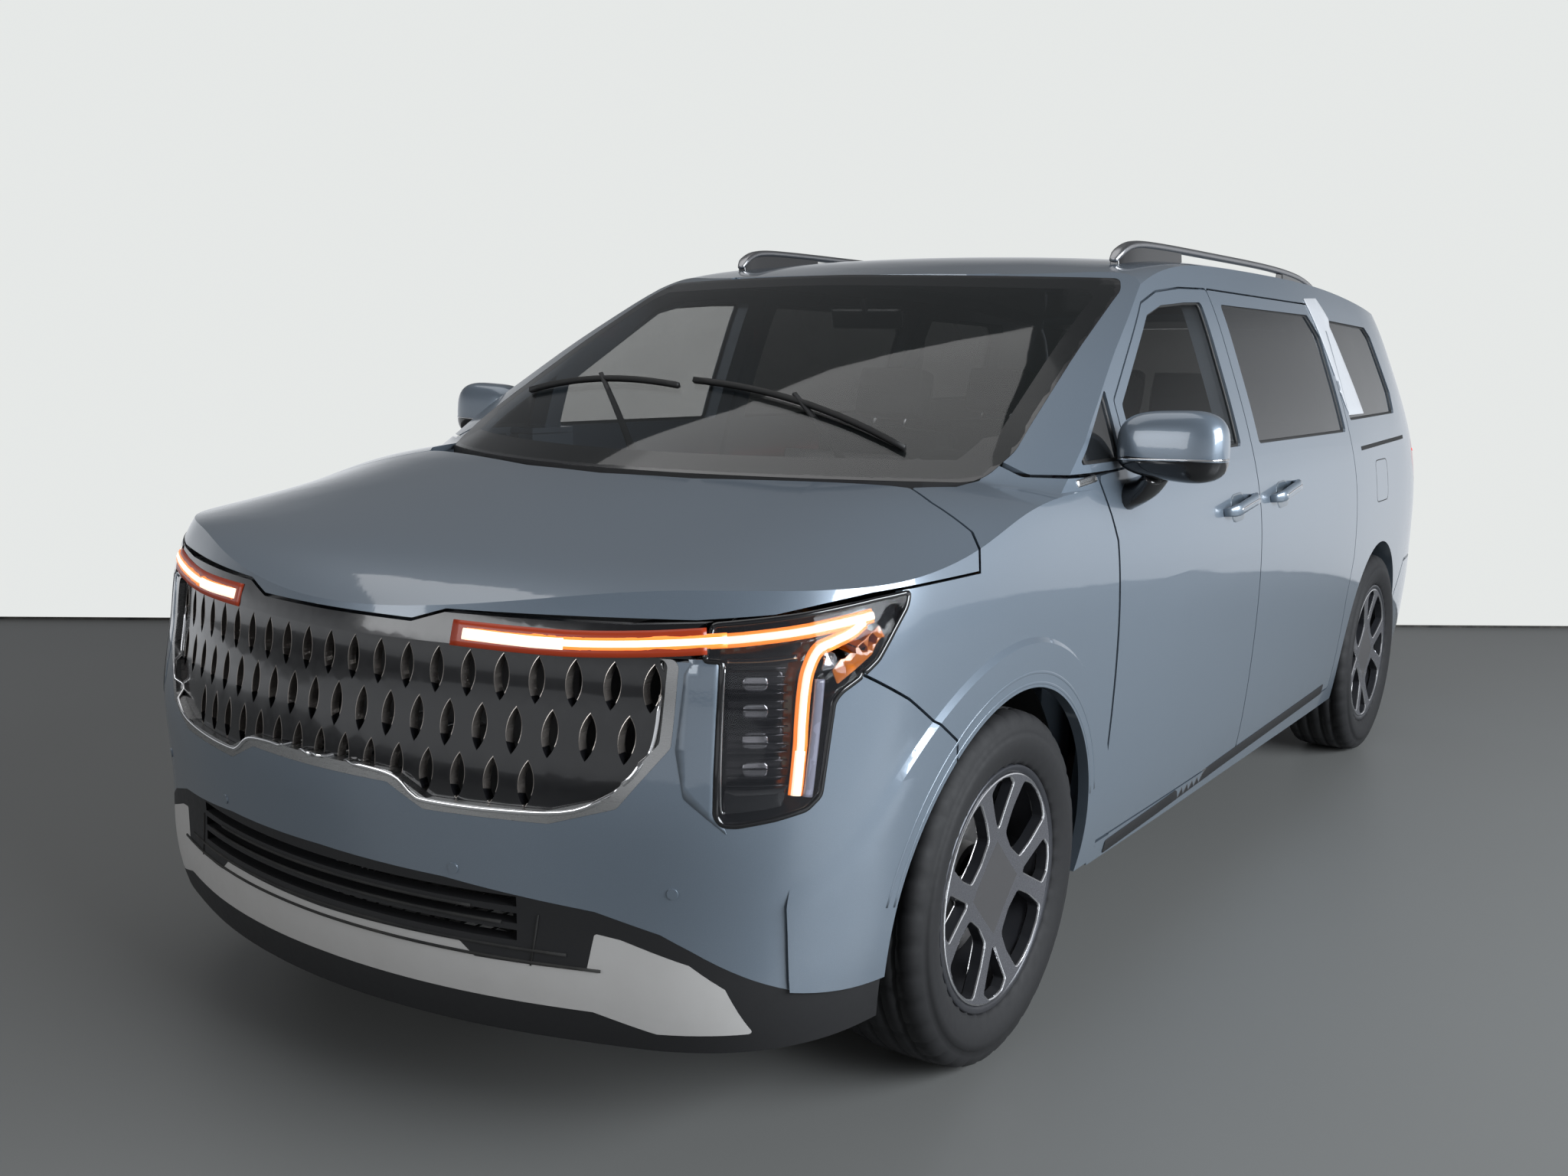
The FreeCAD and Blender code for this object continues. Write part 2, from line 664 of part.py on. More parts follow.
def fenderPanel():
    cutter = sidePrism(fenderShares, gap, houseX, farLeft).cut(frontArch)
    cutter = cutter.cut(planPrism(bothSides(screenFootShares), gap, hoodFloor, height))
    panel = flared(cutter.common(outside).cut(behindSkin), cutter, frontAxle)
    panel = panel.cut(hoodCutter(-gap)).cut(lampCutter(seatGap)).cut(hingeRoom(1))
    panel = panel.cut(sidePrism(bumperShares, gap, houseX, farLeft, gap / 2))
    panel = panel.cut(sidePrism(frontDoorShares, skin, houseX, farLeft, size("hingeGap") - gap / 2))
    return onlySolid(panel.cut(doorSweep()).cut(screenCutter(seatGap)))


# The windscreen, the cowl and the room left for them, in plan
screenFootShares = (
    (0.000, -0.110), (0.300, -0.100), (0.500, -0.040), (0.700, 0.000), (0.790, 0.030), (0.800, 0.078),
    (0.000, 0.078),
)


def lampCutter(shift):
    """The place of the left headlamp."""
    front = frontPrism(headlampShares, skin, farFront, place(-0.2), shift)
    return front.common(sidePrism(lampSideShares, skin, houseX, farLeft, shift))


def layered(cutter, near, far):
    """What a cutter leaves of the layer between two depths behind the skin."""
    return cutter.common(ringSolid(near)).cut(ringSolid(far))


def bothHalves(shape):
    return shape.fuse(mirrored(shape))


archCuts = bothHalves(frontArch)
lampDepth = size("lampDepth")
floorZ = size("floorHeight")
floorThick = size("floorThick")
floorEnd = 1.82


def noseOpenings():
    """All that the painted bumper leaves out."""
    return [
        frontPrism(bothSides(surroundShares), skin, farFront, frontWrap, seatGap),
        frontPrism(bothSides(valanceShares), skin, farFront, frontWrap, seatGap),
        frontPrism(bothSides(lampBarShares), gap, farFront, frontWrap, gap),
        lampCutter(seatGap),
        mirrored(lampCutter(seatGap)),
        hoodCutter(-gap),
    ]


surroundShares = (
    (0.000, 0.521), (0.710, 0.5249), (0.710, 0.441), (0.633, 0.3798), (0.517, 0.3587), (0.275, 0.3562),
    (0.193, 0.3775), (0.000, 0.377),
)


def bumperPanel():
    """Painted front bumper, wrapped round to the arches."""
    cutter = sidePrism(bumperShares, gap, -farLeft, farLeft, -gap / 2).cut(archCuts)
    panel = cutter.common(outside).cut(behindSkin)
    bands = [cutter.common(side).common(proud).cut(behindSkin)
             for side in (flare(frontAxle), mirrored(flare(frontAxle)))]
    panel = panel.fuse(bands)
    for cut in noseOpenings():
        panel = panel.cut(cut)
    return onlySolid(panel)


def valance():
    """Black lower intake with its slats, from arch to arch."""
    cutter = frontPrism(bothSides(valanceShares), skin, farFront, frontWrap).cut(archCuts)
    panel = layered(cutter, 0, 2 * skin)
    panel = panel.cut(frontPrism(bothSides(skidShares), gap, farFront, frontWrap, seatGap))
    intake = size("intakeWidth") / 2
    slat = size("intakeSlat")
    low = height * intakeLowShare + slat
    high = height * intakeHighShare - slat
    count = int(size("intakeSlats"))
    pitch = (high - low) / count
    for index in range(count):
        bottom = low + index * pitch + slat / 2
        panel = panel.cut(block(-intake, intake, farFront, frontWrap, bottom, bottom + pitch - slat))
    return onlySolid(panel)


intakeLowShare = 0.222
intakeHighShare = 0.288


def skidGarnish():
    """Silver lip of the lower bumper, with the brackets that reach back to the cross rail."""
    lip = layered(frontPrism(bothSides(skidShares), gap, farFront, frontWrap), 0, 2 * skin)
    wide = size("railWide") / 2
    x = size("railPlace") / 2
    level = skidShares[0][1] * height - wide / 2
    arm = block(x - wide, x + wide, frontEnd + 2 * skin, place(-0.70) - seatGap, level - wide, level)
    return onlySolid(lip.fuse(bothHalves(arm.common(ringSolid(skin)))))


def lens(x, z, across, tall):
    """One pointed slit of the grille, cut along the body."""
    top = Vector(x, farFront, z + tall / 2)
    bottom = Vector(x, farFront, z - tall / 2)
    left = Part.Arc(top, Vector(x + across / 2, farFront, z), bottom).toShape()
    right = Part.Arc(bottom, Vector(x - across / 2, farFront, z), top).toShape()
    return Part.Face(Part.Wire([left, right])).extrude(Vector(0, frontWrap - farFront, 0))


def grilleSlits():
    """Rows of slits, each row half a pitch along from the one above."""
    slits = []
    pitch = size("grillePitch")
    tall = size("grilleRow")
    top = height * grilleShares[0][1] - size("grilleBar")
    for row in range(3):
        z = top - tall / 2 - row * (tall + size("grilleBar"))
        edge = halfWidth * grilleEdgeShares[row] - size("grilleBar")
        offset = 0 if row % 2 == 0 else pitch / 2
        count = int(edge / pitch) + 1
        for column in range(-count, count + 1):
            x = column * pitch + offset
            if abs(x) + size("grilleSlit") / 2 < edge:
                slits.append(lens(x, z, size("grilleSlit"), tall))
    return Part.Compound(slits)


grilleEdgeShares = (0.690, 0.668, 0.530)


def grille():
    """Lattice of waving ribs: a curved plate pierced by offset rows of pointed slits."""
    cutter = frontPrism(bothSides(grilleShares), skin, farFront, frontWrap, -seatGap)
    plate = layered(cutter, skin, skin + size("grilleThick"))
    return onlySolid(plate.cut(grilleSlits()))


def grilleSurround():
    outer = frontPrism(bothSides(surroundShares), skin, farFront, frontWrap)
    outer = outer.cut(frontPrism(bothSides(lampBarShares), gap, farFront, frontWrap, seatGap))
    hole = frontPrism(bothSides(grilleShares), skin, farFront, frontWrap, seatGap)
    return onlySolid(layered(outer.cut(hole), 0, skin + size("grilleThick")))


def lampBar():
    cutter = frontPrism(bothSides(lampBarShares), gap / 2, farFront, frontWrap).cut(lampCutter(seatGap))
    cutter = cutter.cut(mirrored(lampCutter(seatGap)))
    return onlySolid(layered(cutter, 0, lampDepth / 2))


def headlamp():
    lamp = lampCutter(0).common(outside).cut(ringSolid(lampDepth))
    return onlySolid(lamp.cut(frontArch).cut(hoodCutter(-gap)))


# Doors and the side frames

hingeY = place(0.182)
hingeX = size("doorHingeX")


def doorPanel(shares, glassShares):
    """A door: outer skin, and a thick inner part set back all round, with its window cut."""
    back = size("rebate")
    skinPart = sidePrism(shares, skin, houseX, farLeft, -gap / 2).common(outside).cut(behindSkin)
    innerPart = sidePrism(shares, skin, houseX, farLeft, -back).common(behindSkin).cut(behindDoor)
    door = skinPart.fuse(innerPart)
    return door.cut(sidePrism(glassShares, skin, houseX, farLeft))


def sideGlass(shares, shift=0):
    cutter = sidePrism(shares, skin, houseX, farLeft, shift)
    return onlySolid(layered(cutter, size("glassSet"), size("glassSet") + size("glassThick")))


def hingeSpots():
    """Middles of the two hinges of the left front door."""
    return [Vector(hingeX, hingeY, share * height) for share in hingeShares]


hingeShares = (0.375, 0.545)


def frontDoor():
    """Front door, notched at its hinges, with the pins that its pillar's straps hold."""
    door = doorPanel(frontDoorShares, frontGlassShares)
    tall = size("hingeTall")
    pin = size("hingePin")
    pins = []
    for spot in hingeSpots():
        notch = block(houseX, hingeX + pin, hingeY - overrun * 3, hingeY + pin * 4, spot.z - tall / 2,
                      spot.z + tall / 2)
        door = door.cut(notch)
        door = door.cut(rod(spot - zAxis * tall / 2, spot + zAxis * tall / 2, pin * 2.2))
        pins.append(rod(spot - zAxis * tall * 0.7, spot + zAxis * tall * 0.7, pin))
    return onlySolid(door.fuse(pins))


def hingeStraps():
    """Straps of the hinge pillar, each with an eye round a door's pin."""
    tall = size("hingeTall") * 0.5
    pin = size("hingePin")
    straps = []
    for spot in hingeSpots():
        low = spot.z - tall / 2
        high = spot.z + tall / 2
        bar = block(size("pillarInner"), hingeX, hingeY - pin, hingeY + pin, low, high)
        eye = rod(Vector(hingeX, hingeY, low), Vector(hingeX, hingeY, high), pin * 1.7)
        hole = rod(Vector(hingeX, hingeY, low), Vector(hingeX, hingeY, high), pin + size("runGap"))
        straps.append(bar.fuse(eye).cut(hole))
    return straps


def hingePillar():
    """Inner pillar that carries the front door, clear of the door's turning edge."""
    inner = size("pillarInner")
    front = place(0.150)
    back = place(0.205)
    belt = frameShares[3][1] * height
    outer = hingeX - doorReach(3) - gap
    post = block(inner, outer, front, back, height * frameShares[0][1], belt)
    foot = block(inner, hingeX - overrun, front, back, height * frameShares[0][1],
                 frontDoorShares[0][1] * height - 2 * gap)
    head = block(inner, hingeX - 2 * overrun, front, back, belt + gap / 2, sailGlassShares[0][1] * height)
    return post.fuse([foot, head]).common(bodySolid(2 * skin)).fuse(hingeStraps())


def doorReach(index):
    """How far one corner of the door's leading edge is from the hinge line."""
    at, level = frontDoorShares[index]
    return math.hypot(max(sideX(place(at), level * height) - hingeX, 0), place(at) - hingeY)


def doorSweep():
    """The room that the front door's leading edge turns through."""
    corner = place(frontDoorShares[0][0])
    profile = [Vector(0, 0, height * sweepShares[0] - gap)]
    for share in sweepShares:
        out = max(sideX(corner, share * height) - hingeX, 0)
        profile.append(Vector(math.hypot(out, corner - hingeY) + gap, 0, share * height))
    profile[1].z -= gap
    for index in (2, 3):
        profile.append(Vector(doorReach(index) + gap, 0, frontDoorShares[index][1] * height))
    top = frameShares[3][1] * height
    profile.append(Vector(profile[-1].x, 0, top))
    profile.append(Vector(0, 0, top))
    face = Part.Face(Part.makePolygon(profile + [profile[0]]))
    sweep = face.revolve(centre, zAxis, 360)
    sweep.translate(Vector(hingeX, hingeY, 0))
    return sweep


sweepShares = (0.182, 0.230, 0.280, 0.340, 0.400, 0.460, 0.520, 0.586)


def slidingDoor():
    door = doorPanel(slidingDoorShares, slidingGlassShares)
    door = door.cut(arch(rearAxle, size("archRadius") + size("rebate")))
    return onlySolid(door)


frameShares = (
    (0.166, 0.150), (0.166, 0.586), (0.159, 0.618), (0.145, 0.674), (0.0845, 0.674), (0.076, 0.765),
    (-0.060, 0.765), (-0.060, 1.100), (2.300, 1.100), (2.300, 0.378), (1.480, 0.378), (1.357, 0.3035),
    (1.357, 0.150),
)


def screenCutter(shift):
    return frontPrism(bothSides(screenShapeShares), overrun, place(-0.6), place(0.62), shift)


def roofCutter(shift):
    return planPrism(bothSides(roofPanelShares), gap, height * 0.85, height * 1.1, shift)


def liftgateCutter(shift):
    return frontPrism(bothSides(liftgateShares), overrun, roofEnd, farRear, shift)


roofEnd = place(roofPanelShares[-1][1])


def doorOpening(shares, clearance):
    """Room for a door in the frame: its skin, and its inner part behind a rebate."""
    back = size("rebate")
    wide = sidePrism(shares, skin, houseX, farLeft, gap / 2).cut(behindGap)
    narrow = sidePrism(shares, skin, houseX, farLeft, clearance - back).common(behindGap)
    return wide, narrow


def sideFrame():
    """Pillars, cantrail, sill and rear quarter of the left side."""
    cutter = sidePrism(frameShares, gap, houseX * 0.8, farLeft)
    frame = cutter.common(outside).cut(inside)
    for cut in (screenCutter(seatGap), roofCutter(seatGap), liftgateCutter(gap), rearArch):
        frame = frame.cut(cut)
    for shares, clearance in ((frontDoorShares, gap), (slidingDoorShares, seatGap)):
        for cut in doorOpening(shares, clearance):
            frame = frame.cut(cut)
    frame = frame.cut(sidePrism(quarterGlassShares, skin, houseX, farLeft))
    frame = frame.cut(sidePrism(sailGlassShares, gap, houseX, farLeft))
    frame = frame.cut(tailLampCutter(seatGap))
    return onlySolid(frame.cut(doorSweep()).fuse(hingePillar()))


def tailLampCutter(shift):
    cutter = frontPrism(tailLampShares, gap, roofEnd, farRear, shift)
    return cutter.common(sidePrism(tailSideShares, gap, houseX, farLeft, shift))


def tailLamp():
    return onlySolid(layered(tailLampCutter(0), 0, lampDepth))


def rearBumper():
    cutter = sidePrism(rearBumperShares, gap, -farLeft, farLeft, -gap / 2)
    bumper = cutter.common(outside).cut(behindSkin).cut(bothHalves(rearArch))
    wide = size("railWide") / 2
    x = size("railPlace")
    arm = block(x - wide, x + wide, place(floorEnd) + seatGap, farRear, floorZ, floorZ + floorThick)
    return onlySolid(bumper.fuse(bothHalves(arm.common(ringSolid(skin / 2)))))


def liftgate():
    """Tailgate with its window cut, hinged at the roof."""
    cutter = liftgateCutter(0).common(block(-farLeft, farLeft, gateEdge, farRear, 0, 2 * height))
    core = liftgateCutter(-size("rebate")).common(cutter).common(behindSkin).cut(behindDoor)
    gate = cutter.common(outside).cut(behindSkin).fuse(core)
    gate = gate.cut(frontPrism(bothSides(liftgateGlassShares), overrun, roofEnd, farRear))
    pin = size("gatePin")
    arms = []
    for side in (1, -1):
        spot = gateHinge(side)
        bar = block(spot.x - pin * 2, spot.x + pin * 2, spot.y, gateEdge + skin, spot.z - pin * 1.7, spot.z)
        arms.append(bar.fuse(hingeEye(spot, pin)).cut(pinRoom(spot, pin)))
    return onlySolid(gate.fuse(arms))


gateEdge = roofEnd + size("gateSlot")


def gateHinge(side):
    """Middle of one tailgate hinge, in the slot behind the roof."""
    pin = size("gatePin")
    return Vector(side * size("gateHingePlace"), gateEdge - 2 * pin, roofZ(0, gateEdge) - pin)


def hoodHinge(side):
    """Middle of one hood hinge, beside the cowl."""
    return Vector(side * size("hoodHingePlace"), place(0.014), height * 0.6507)


def hingeRoom(side):
    """Room round one hood hinge."""
    spot = hoodHinge(side)
    room = 5 * size("hingePin")
    return block(spot.x - room, spot.x + room, place(-0.2), spot.y + room, 0, height)


def hingeEye(spot, pin):
    """The eye of a hinge that turns about a level pin."""
    return rod(spot - xAxis * pin * 2, spot + xAxis * pin * 2, pin * 1.7)


def pinRoom(spot, pin):
    return rod(spot - xAxis * pin * 3, spot + xAxis * pin * 3, pin + size("runGap"))


def hingeEars(spot, pin, reach, foot):
    """Two ears with the pin between them, reaching forward and down to what carries them."""
    ears = []
    for side in (1, -1):
        near = spot.x + side * (pin * 2 + seatGap)
        far = spot.x + side * pin * 4
        ears.append(block(min(near, far), max(near, far), spot.y - reach, spot.y + pin * earShare,
                          min(spot.z - pin * 1.5, foot), spot.z + pin * earShare))
    bar = rod(spot - xAxis * pin * 3, spot + xAxis * pin * 3, pin)
    return bar.fuse(ears)


earShare = 1.3


def liftgateGlass():
    cutter = frontPrism(bothSides(liftgateGlassShares), overrun, gateEdge + skin, farRear, -seatGap)
    return onlySolid(layered(cutter, 0, size("glassThick")))


def windscreen():
    return onlySolid(screenCutter(0).common(screenSolid(0)).cut(screenSolid(size("screenThick"))))


def roofPanel():
    """Roof between the cantrails, with the ears of the tailgate's hinges under its rear edge."""
    roof = roofCutter(0).common(outside).cut(bodySolid(2 * skin)).cut(screenCutter(seatGap))
    pin = size("gatePin")
    for side in (1, -1):
        spot = gateHinge(side)
        roof = roof.fuse(hingeEars(spot, pin, size("gateSlot") + skin, spot.z))
    return onlySolid(roof)


# Parametric sub-parts: sketches and features bound to the sheet

formulaRows = [0]


def cell(formula):
    """A worked-out cell of the sheet, by its address."""
    formulaRows[0] += 1
    address = "D%d" % formulaRows[0]
    sheet.set(address, "=" + formula)
    return address


def originPart(body, role):
    """One of a body's own origin planes or axes."""
    for feature in body.Origin.OriginFeatures:
        if feature.Role == role:
            return feature
    raise ValueError(role)


def newBody(name):
    body = doc.addObject("PartDesign::Body", name)
    body.Label = name
    parts.append(body)
    return body


def profileSketch(body, name, role, corners):
    """A closed sketch of straight sides, each corner held by two cells of the sheet."""
    sketch = body.newObject("Sketcher::SketchObject", name)
    sketch.AttachmentSupport = (originPart(body, role), [""])
    sketch.MapMode = "FlatFace"
    cells = [(cell(across), cell(up)) for across, up in corners]
    sheet.recompute()
    spots = [Vector(float(sheet.get(across)), float(sheet.get(up)), 0) for across, up in cells]
    count = len(spots)
    for index in range(count):
        sketch.addGeometry(Part.LineSegment(spots[index], spots[(index + 1) % count]))
    for index in range(count):
        sketch.addConstraint(Sketcher.Constraint("Coincident", index, 2, (index + 1) % count, 1))
    for index, (across, up) in enumerate(cells):
        spot = spots[index]
        number = sketch.addConstraint(Sketcher.Constraint("DistanceX", -1, 1, index, 1, spot.x))
        sketch.setExpression("Constraints[%d]" % number, "Sizes." + across)
        number = sketch.addConstraint(Sketcher.Constraint("DistanceY", -1, 1, index, 1, spot.y))
        sketch.setExpression("Constraints[%d]" % number, "Sizes." + up)
    return sketch


def turned(body, sketch, name):
    """A full turn of a sketch about its upright axis."""
    turn = body.newObject("PartDesign::Revolution", name)
    turn.Profile = sketch
    turn.ReferenceAxis = (sketch, ["V_Axis"])
    turn.Angle = 360
    return turn


wheelPlaces = (
    ("front_left", 1, -1), ("front_right", -1, -1), ("rear_left", 1, 1), ("rear_right", -1, 1),
)


def setWheelPlace(body, side, end):
    """Puts a wheel piece on its axle, its outer face out."""
    middle = "(frontOverhang - rearOverhang + %d * wheelbase) / 2" % end
    body.Placement = FreeCAD.Placement(centre, Rotation(zAxis, -90 * side))
    places = (("x", "%d * track / 2" % side), ("y", middle), ("z", "tyreRadius"))
    for axis, formula in places:
        body.setExpression(".Placement.Base." + axis, "Sizes." + cell(formula))


def tyre(name, side, end):
    """A plain tyre: tread, shoulders, sidewalls and the seat on the rim."""
    body = newBody("tyre_" + name)
    half = "tyreWidth / 2"
    corners = (
        ("tyreRadius", half + " - tyreShoulder * 1.2"),
        ("tyreRadius - tyreShoulder * 0.4", half + " - tyreShoulder * 0.35"),
        ("tyreRadius - tyreShoulder * 1.7", half),
        ("rimRadius", "rimWidth / 2"),
        ("rimRadius", "-rimWidth / 2"),
        ("tyreRadius - tyreShoulder * 1.7", "-" + half),
        ("tyreRadius - tyreShoulder * 0.4", "-" + half + " + tyreShoulder * 0.35"),
        ("tyreRadius", "-" + half + " + tyreShoulder * 1.2"),
    )
    sketch = profileSketch(body, "tyre_profile_" + name, "XY_Plane", corners)
    turned(body, sketch, "tyre_turn_" + name)
    setWheelPlace(body, side, end)


def pierced(body, name, corners):
    """An opening cut outward through a wheel disc, four times round the axle."""
    sketch = profileSketch(body, name, "XZ_Plane", corners)
    pocket = body.newObject("PartDesign::Pocket", name + "_cut")
    pocket.Profile = sketch
    pocket.Type = "ThroughAll"
    pocket.Reversed = False
    pattern = body.newObject("PartDesign::PolarPattern", name + "_round")
    pattern.Originals = [pocket]
    pattern.Axis = (originPart(body, "Y_Axis"), [""])
    pattern.Angle = 360
    pattern.Occurrences = 4
    body.Tip = pattern


def rim(name, side, end):
    """Alloy wheel with a dished disc, four-fold windows, hub and brake disc."""
    body = newBody("rim_" + name)
    corners = (
        ("0", "rimFace"),
        ("hubRadius", "rimFace"),
        ("hubRadius * 1.3", "rimFace - rimDish * 0.6"),
        ("rimRadius - rimWall * 3", "rimFace - rimDish * 0.5"),
        ("rimRadius - rimWall * 2", "rimWidth / 2 - rimWall"),
        ("rimRadius", "rimWidth / 2"),
        ("rimRadius", "-rimWidth / 2"),
        ("rimRadius - rimWall", "-rimWidth / 2"),
        ("rimRadius - rimWall * 2", "0"),
        ("rimRadius - rimWall * 3", "rimFace - rimDish * 0.5 - rimWall * 2"),
        ("hubRadius * 1.3", "rimFace - rimDish * 0.6 - rimWall * 3"),
        ("hubRadius", "rimFace - rimDish - rimWall * 3"),
        ("hubRadius", "-discSet"),
        ("discRadius", "-discSet"),
        ("discRadius", "-discSet - discThick"),
        ("0", "-discSet - discThick"),
    )
    sketch = profileSketch(body, "rim_profile_" + name, "XY_Plane", corners)
    turned(body, sketch, "rim_turn_" + name)
    near = "hubRadius * 1.62"
    far = "(rimRadius - rimWall * 3)"
    pierced(body, "large_window_" + name, (
        (near + " * 0.94", near + " * 0.34"),
        (far + " * 0.86", far + " * 0.29"),
        (far + " * 0.86", far + " * 0.44"),
        (far + " * 0.62", far + " * 0.68"),
        (far + " * 0.44", far + " * 0.86"),
        (far + " * 0.29", far + " * 0.86"),
        (near + " * 0.34", near + " * 0.94"),
    ))
    pierced(body, "small_window_" + name, (
        (near + " * 0.98", near + " * 0.10"),
        (far + " * 0.97", far + " * 0.14"),
        (far + " * 0.97", "-" + far + " * 0.14"),
        (near + " * 0.98", "-" + near + " * 0.10"),
    ))
    setWheelPlace(body, side, end)


# Underbody

sillX = halfWidth - size("frameDepth") - size("sillSet")
steerAxis = Vector(-math.tan(math.radians(size("kingpinTilt"))), 0, 1)
steerAxis.normalize()
kingpin = Vector(size("kingpinFoot"), frontAxle, 0)


def onKingpin(z):
    """The steering axis at one height, on the left side."""
    return kingpin + steerAxis * (z / steerAxis.z)


def wheelHouse(axle, radius, innerX):
    """The room for one wheel, on the left side."""
    return Part.makeCylinder(radius, halfWidth, Vector(innerX, axle, wheelZ), xAxis)


def houseShell(axle, innerX):
    """Arched liner over one wheel, open to the outside and below."""
    wall = size("linerWall")
    shell = wheelHouse(axle, size("houseRadius") + wall, innerX)
    shell = shell.cut(wheelHouse(axle, size("houseRadius"), innerX + wall))
    keep = block(innerX, sillX, axle - size("wheelbase") / 4, axle + size("wheelbase") / 4, floorZ, height)
    room = block(innerX, sillX, axle - size("armRoom"), axle + size("armRoom"), 0, height * 0.36)
    return shell.common(keep).cut(room)


def strutTower():
    """Inclined tube and cap over one front spring."""
    wall = size("linerWall")
    room = size("springRadius") + gap
    low = onKingpin(wheelZ * 1.9)
    top = onKingpin(towerTop)
    tube = rod(low, top + steerAxis * (seatGap + wall), room + wall)
    tube = tube.cut(rod(low, top + steerAxis * seatGap, room))
    return tube.cut(wheelHouse(frontAxle, size("houseRadius"), size("frontHouse") + wall))


def upperRail():
    """Rail from the firewall over the front wheel house, with the ears of a hood hinge."""
    spot = hoodHinge(1)
    half = size("apronWide") / 2
    top = height * 0.58
    rail = block(spot.x - half, spot.x + half, spot.y - half, firewallY + size("linerWall"), top - half, top)
    post = block(spot.x - half, spot.x + half, frontAxle - half, frontAxle + half,
                 wheelZ + size("houseRadius"), top)
    return rail.fuse([post, hingeEars(spot, size("hingePin"), size("hingePin") * 1.5, top - half / 2)])


firewallY = place(0.165)
towerTop = height * 0.545


def floorPan():
    """Floor, firewall, front rails, spring towers and the four wheel houses."""
    wall = size("linerWall")
    railWide = size("railWide")
    railX = size("railPlace")
    railTop = floorZ + floorThick + railWide * 1.4
    pan = block(-sillX, sillX, firewallY, place(floorEnd), floorZ, floorZ + floorThick)
    side = size("pillarInner") - seatGap
    pan = pan.fuse(block(-side, side, firewallY, firewallY + wall, floorZ, height * 0.58))
    pan = pan.fuse(block(-railX, railX, place(-0.70), place(-0.62), floorZ + floorThick, railTop))
    left = block(railX - railWide / 2, railX + railWide / 2, place(-0.62), firewallY + wall,
                 floorZ + floorThick, railTop)
    pieces = [left]
    for way in (-1, 1):
        near = frontAxle + way * (size("armRoom") + overrun)
        far = near + way * 2 * overrun
        pieces.append(block(railX, size("frontHouse") + wall, min(near, far), max(near, far),
                            floorZ + floorThick, railTop))
    pan = pan.fuse(bothHalves(left.fuse(pieces[1:])))
    pan = pan.cut(bothHalves(wheelHouse(rearAxle, size("houseRadius"), houseX)))
    shells = houseShell(rearAxle, houseX).fuse(houseShell(frontAxle, size("frontHouse")).fuse(upperRail()))
    shells = shells.cut(rod(onKingpin(wheelZ), onKingpin(towerTop), size("springRadius") + gap))
    pan = pan.fuse(bothHalves(shells.fuse(strutTower())))
    pillar = block(size("pillarInner") - seatGap, farLeft, place(0.150) - seatGap, place(0.205) + seatGap,
                   0, height)
    return onlySolid(pan.cut(bothHalves(pillar)).common(ringSolid(size("frameDepth") + seatGap)))


def knuckle():
    """Front upright: ball joint, hub bearing, steering arm, brake caliper and the strut's lower tube."""
    half = size("uprightWide") / 2
    tube = size("strutRadius")
    hubX = size("track") / 2 - size("discSet") - size("discThick") - seatGap
    foot = onKingpin(wheelZ * 0.55)
    waist = onKingpin(wheelZ)
    clamp = onKingpin(wheelZ * 1.72)
    top = onKingpin(wheelZ * 1.98)
    spots = (
        (foot.x - tube, foot.z), (foot.x + tube, foot.z), (waist.x + tube, wheelZ * 0.86),
        (waist.x + tube * 0.9, wheelZ * 1.12), (clamp.x + tube, clamp.z), (top.x + tube * 0.6, top.z),
        (top.x - tube * 1.6, top.z), (clamp.x - tube * 1.4, clamp.z), (waist.x - tube * 1.5, wheelZ * 1.1),
    )
    points = [Vector(x, frontAxle - half, z) for x, z in spots]
    upright = prism(rounded(points, tube / 2), 0, Vector(0, 2 * half, 0))
    hub = rod(Vector(waist.x - tube, frontAxle, wheelZ), Vector(hubX, frontAxle, wheelZ), size("hubRadius") * 0.8)
    strut = rod(clamp, onKingpin(wheelZ * 2.1), tube)
    ball = rod(onKingpin(wheelZ * ballShare), onKingpin(wheelZ * 0.6), size("ballRadius"))
    armEnd = Vector(foot.x - tube, frontAxle + size("steerArm"), wheelZ * 0.8)
    arm = rod(Vector(waist.x - tube / 2, frontAxle, wheelZ * 0.8), armEnd, tube * 0.5)
    return onlySolid(upright.fuse([hub, strut, ball, arm, caliper(frontAxle, 1)]))


ballShare = 0.52


def caliper(axle, way):
    """Brake caliper astride the disc, on the left side, with its bracket to the hub."""
    disc = size("discRadius")
    thick = size("discThick")
    middle = size("track") / 2 - size("discSet") - thick / 2
    wide = thick + 6 * gap
    y = axle + way * disc * 0.78
    body = block(middle - wide, middle + wide * 0.8, y - disc * 0.28, y + disc * 0.28, wheelZ - disc * 0.3,
                 wheelZ + disc * 0.5)
    slot = Part.makeCylinder(disc + gap, thick + 2 * gap, Vector(middle - thick / 2 - gap, axle, wheelZ), xAxis)
    limit = Part.makeCylinder(size("rimRadius") - 5 * size("rimWall"), halfWidth, Vector(0, axle, wheelZ), xAxis)
    bracket = block(middle - wide, middle - thick / 2 - gap, min(axle, y), max(axle, y),
                    wheelZ - disc * 0.2, wheelZ + disc * 0.2)
    return body.cut(slot).common(limit).fuse(bracket)


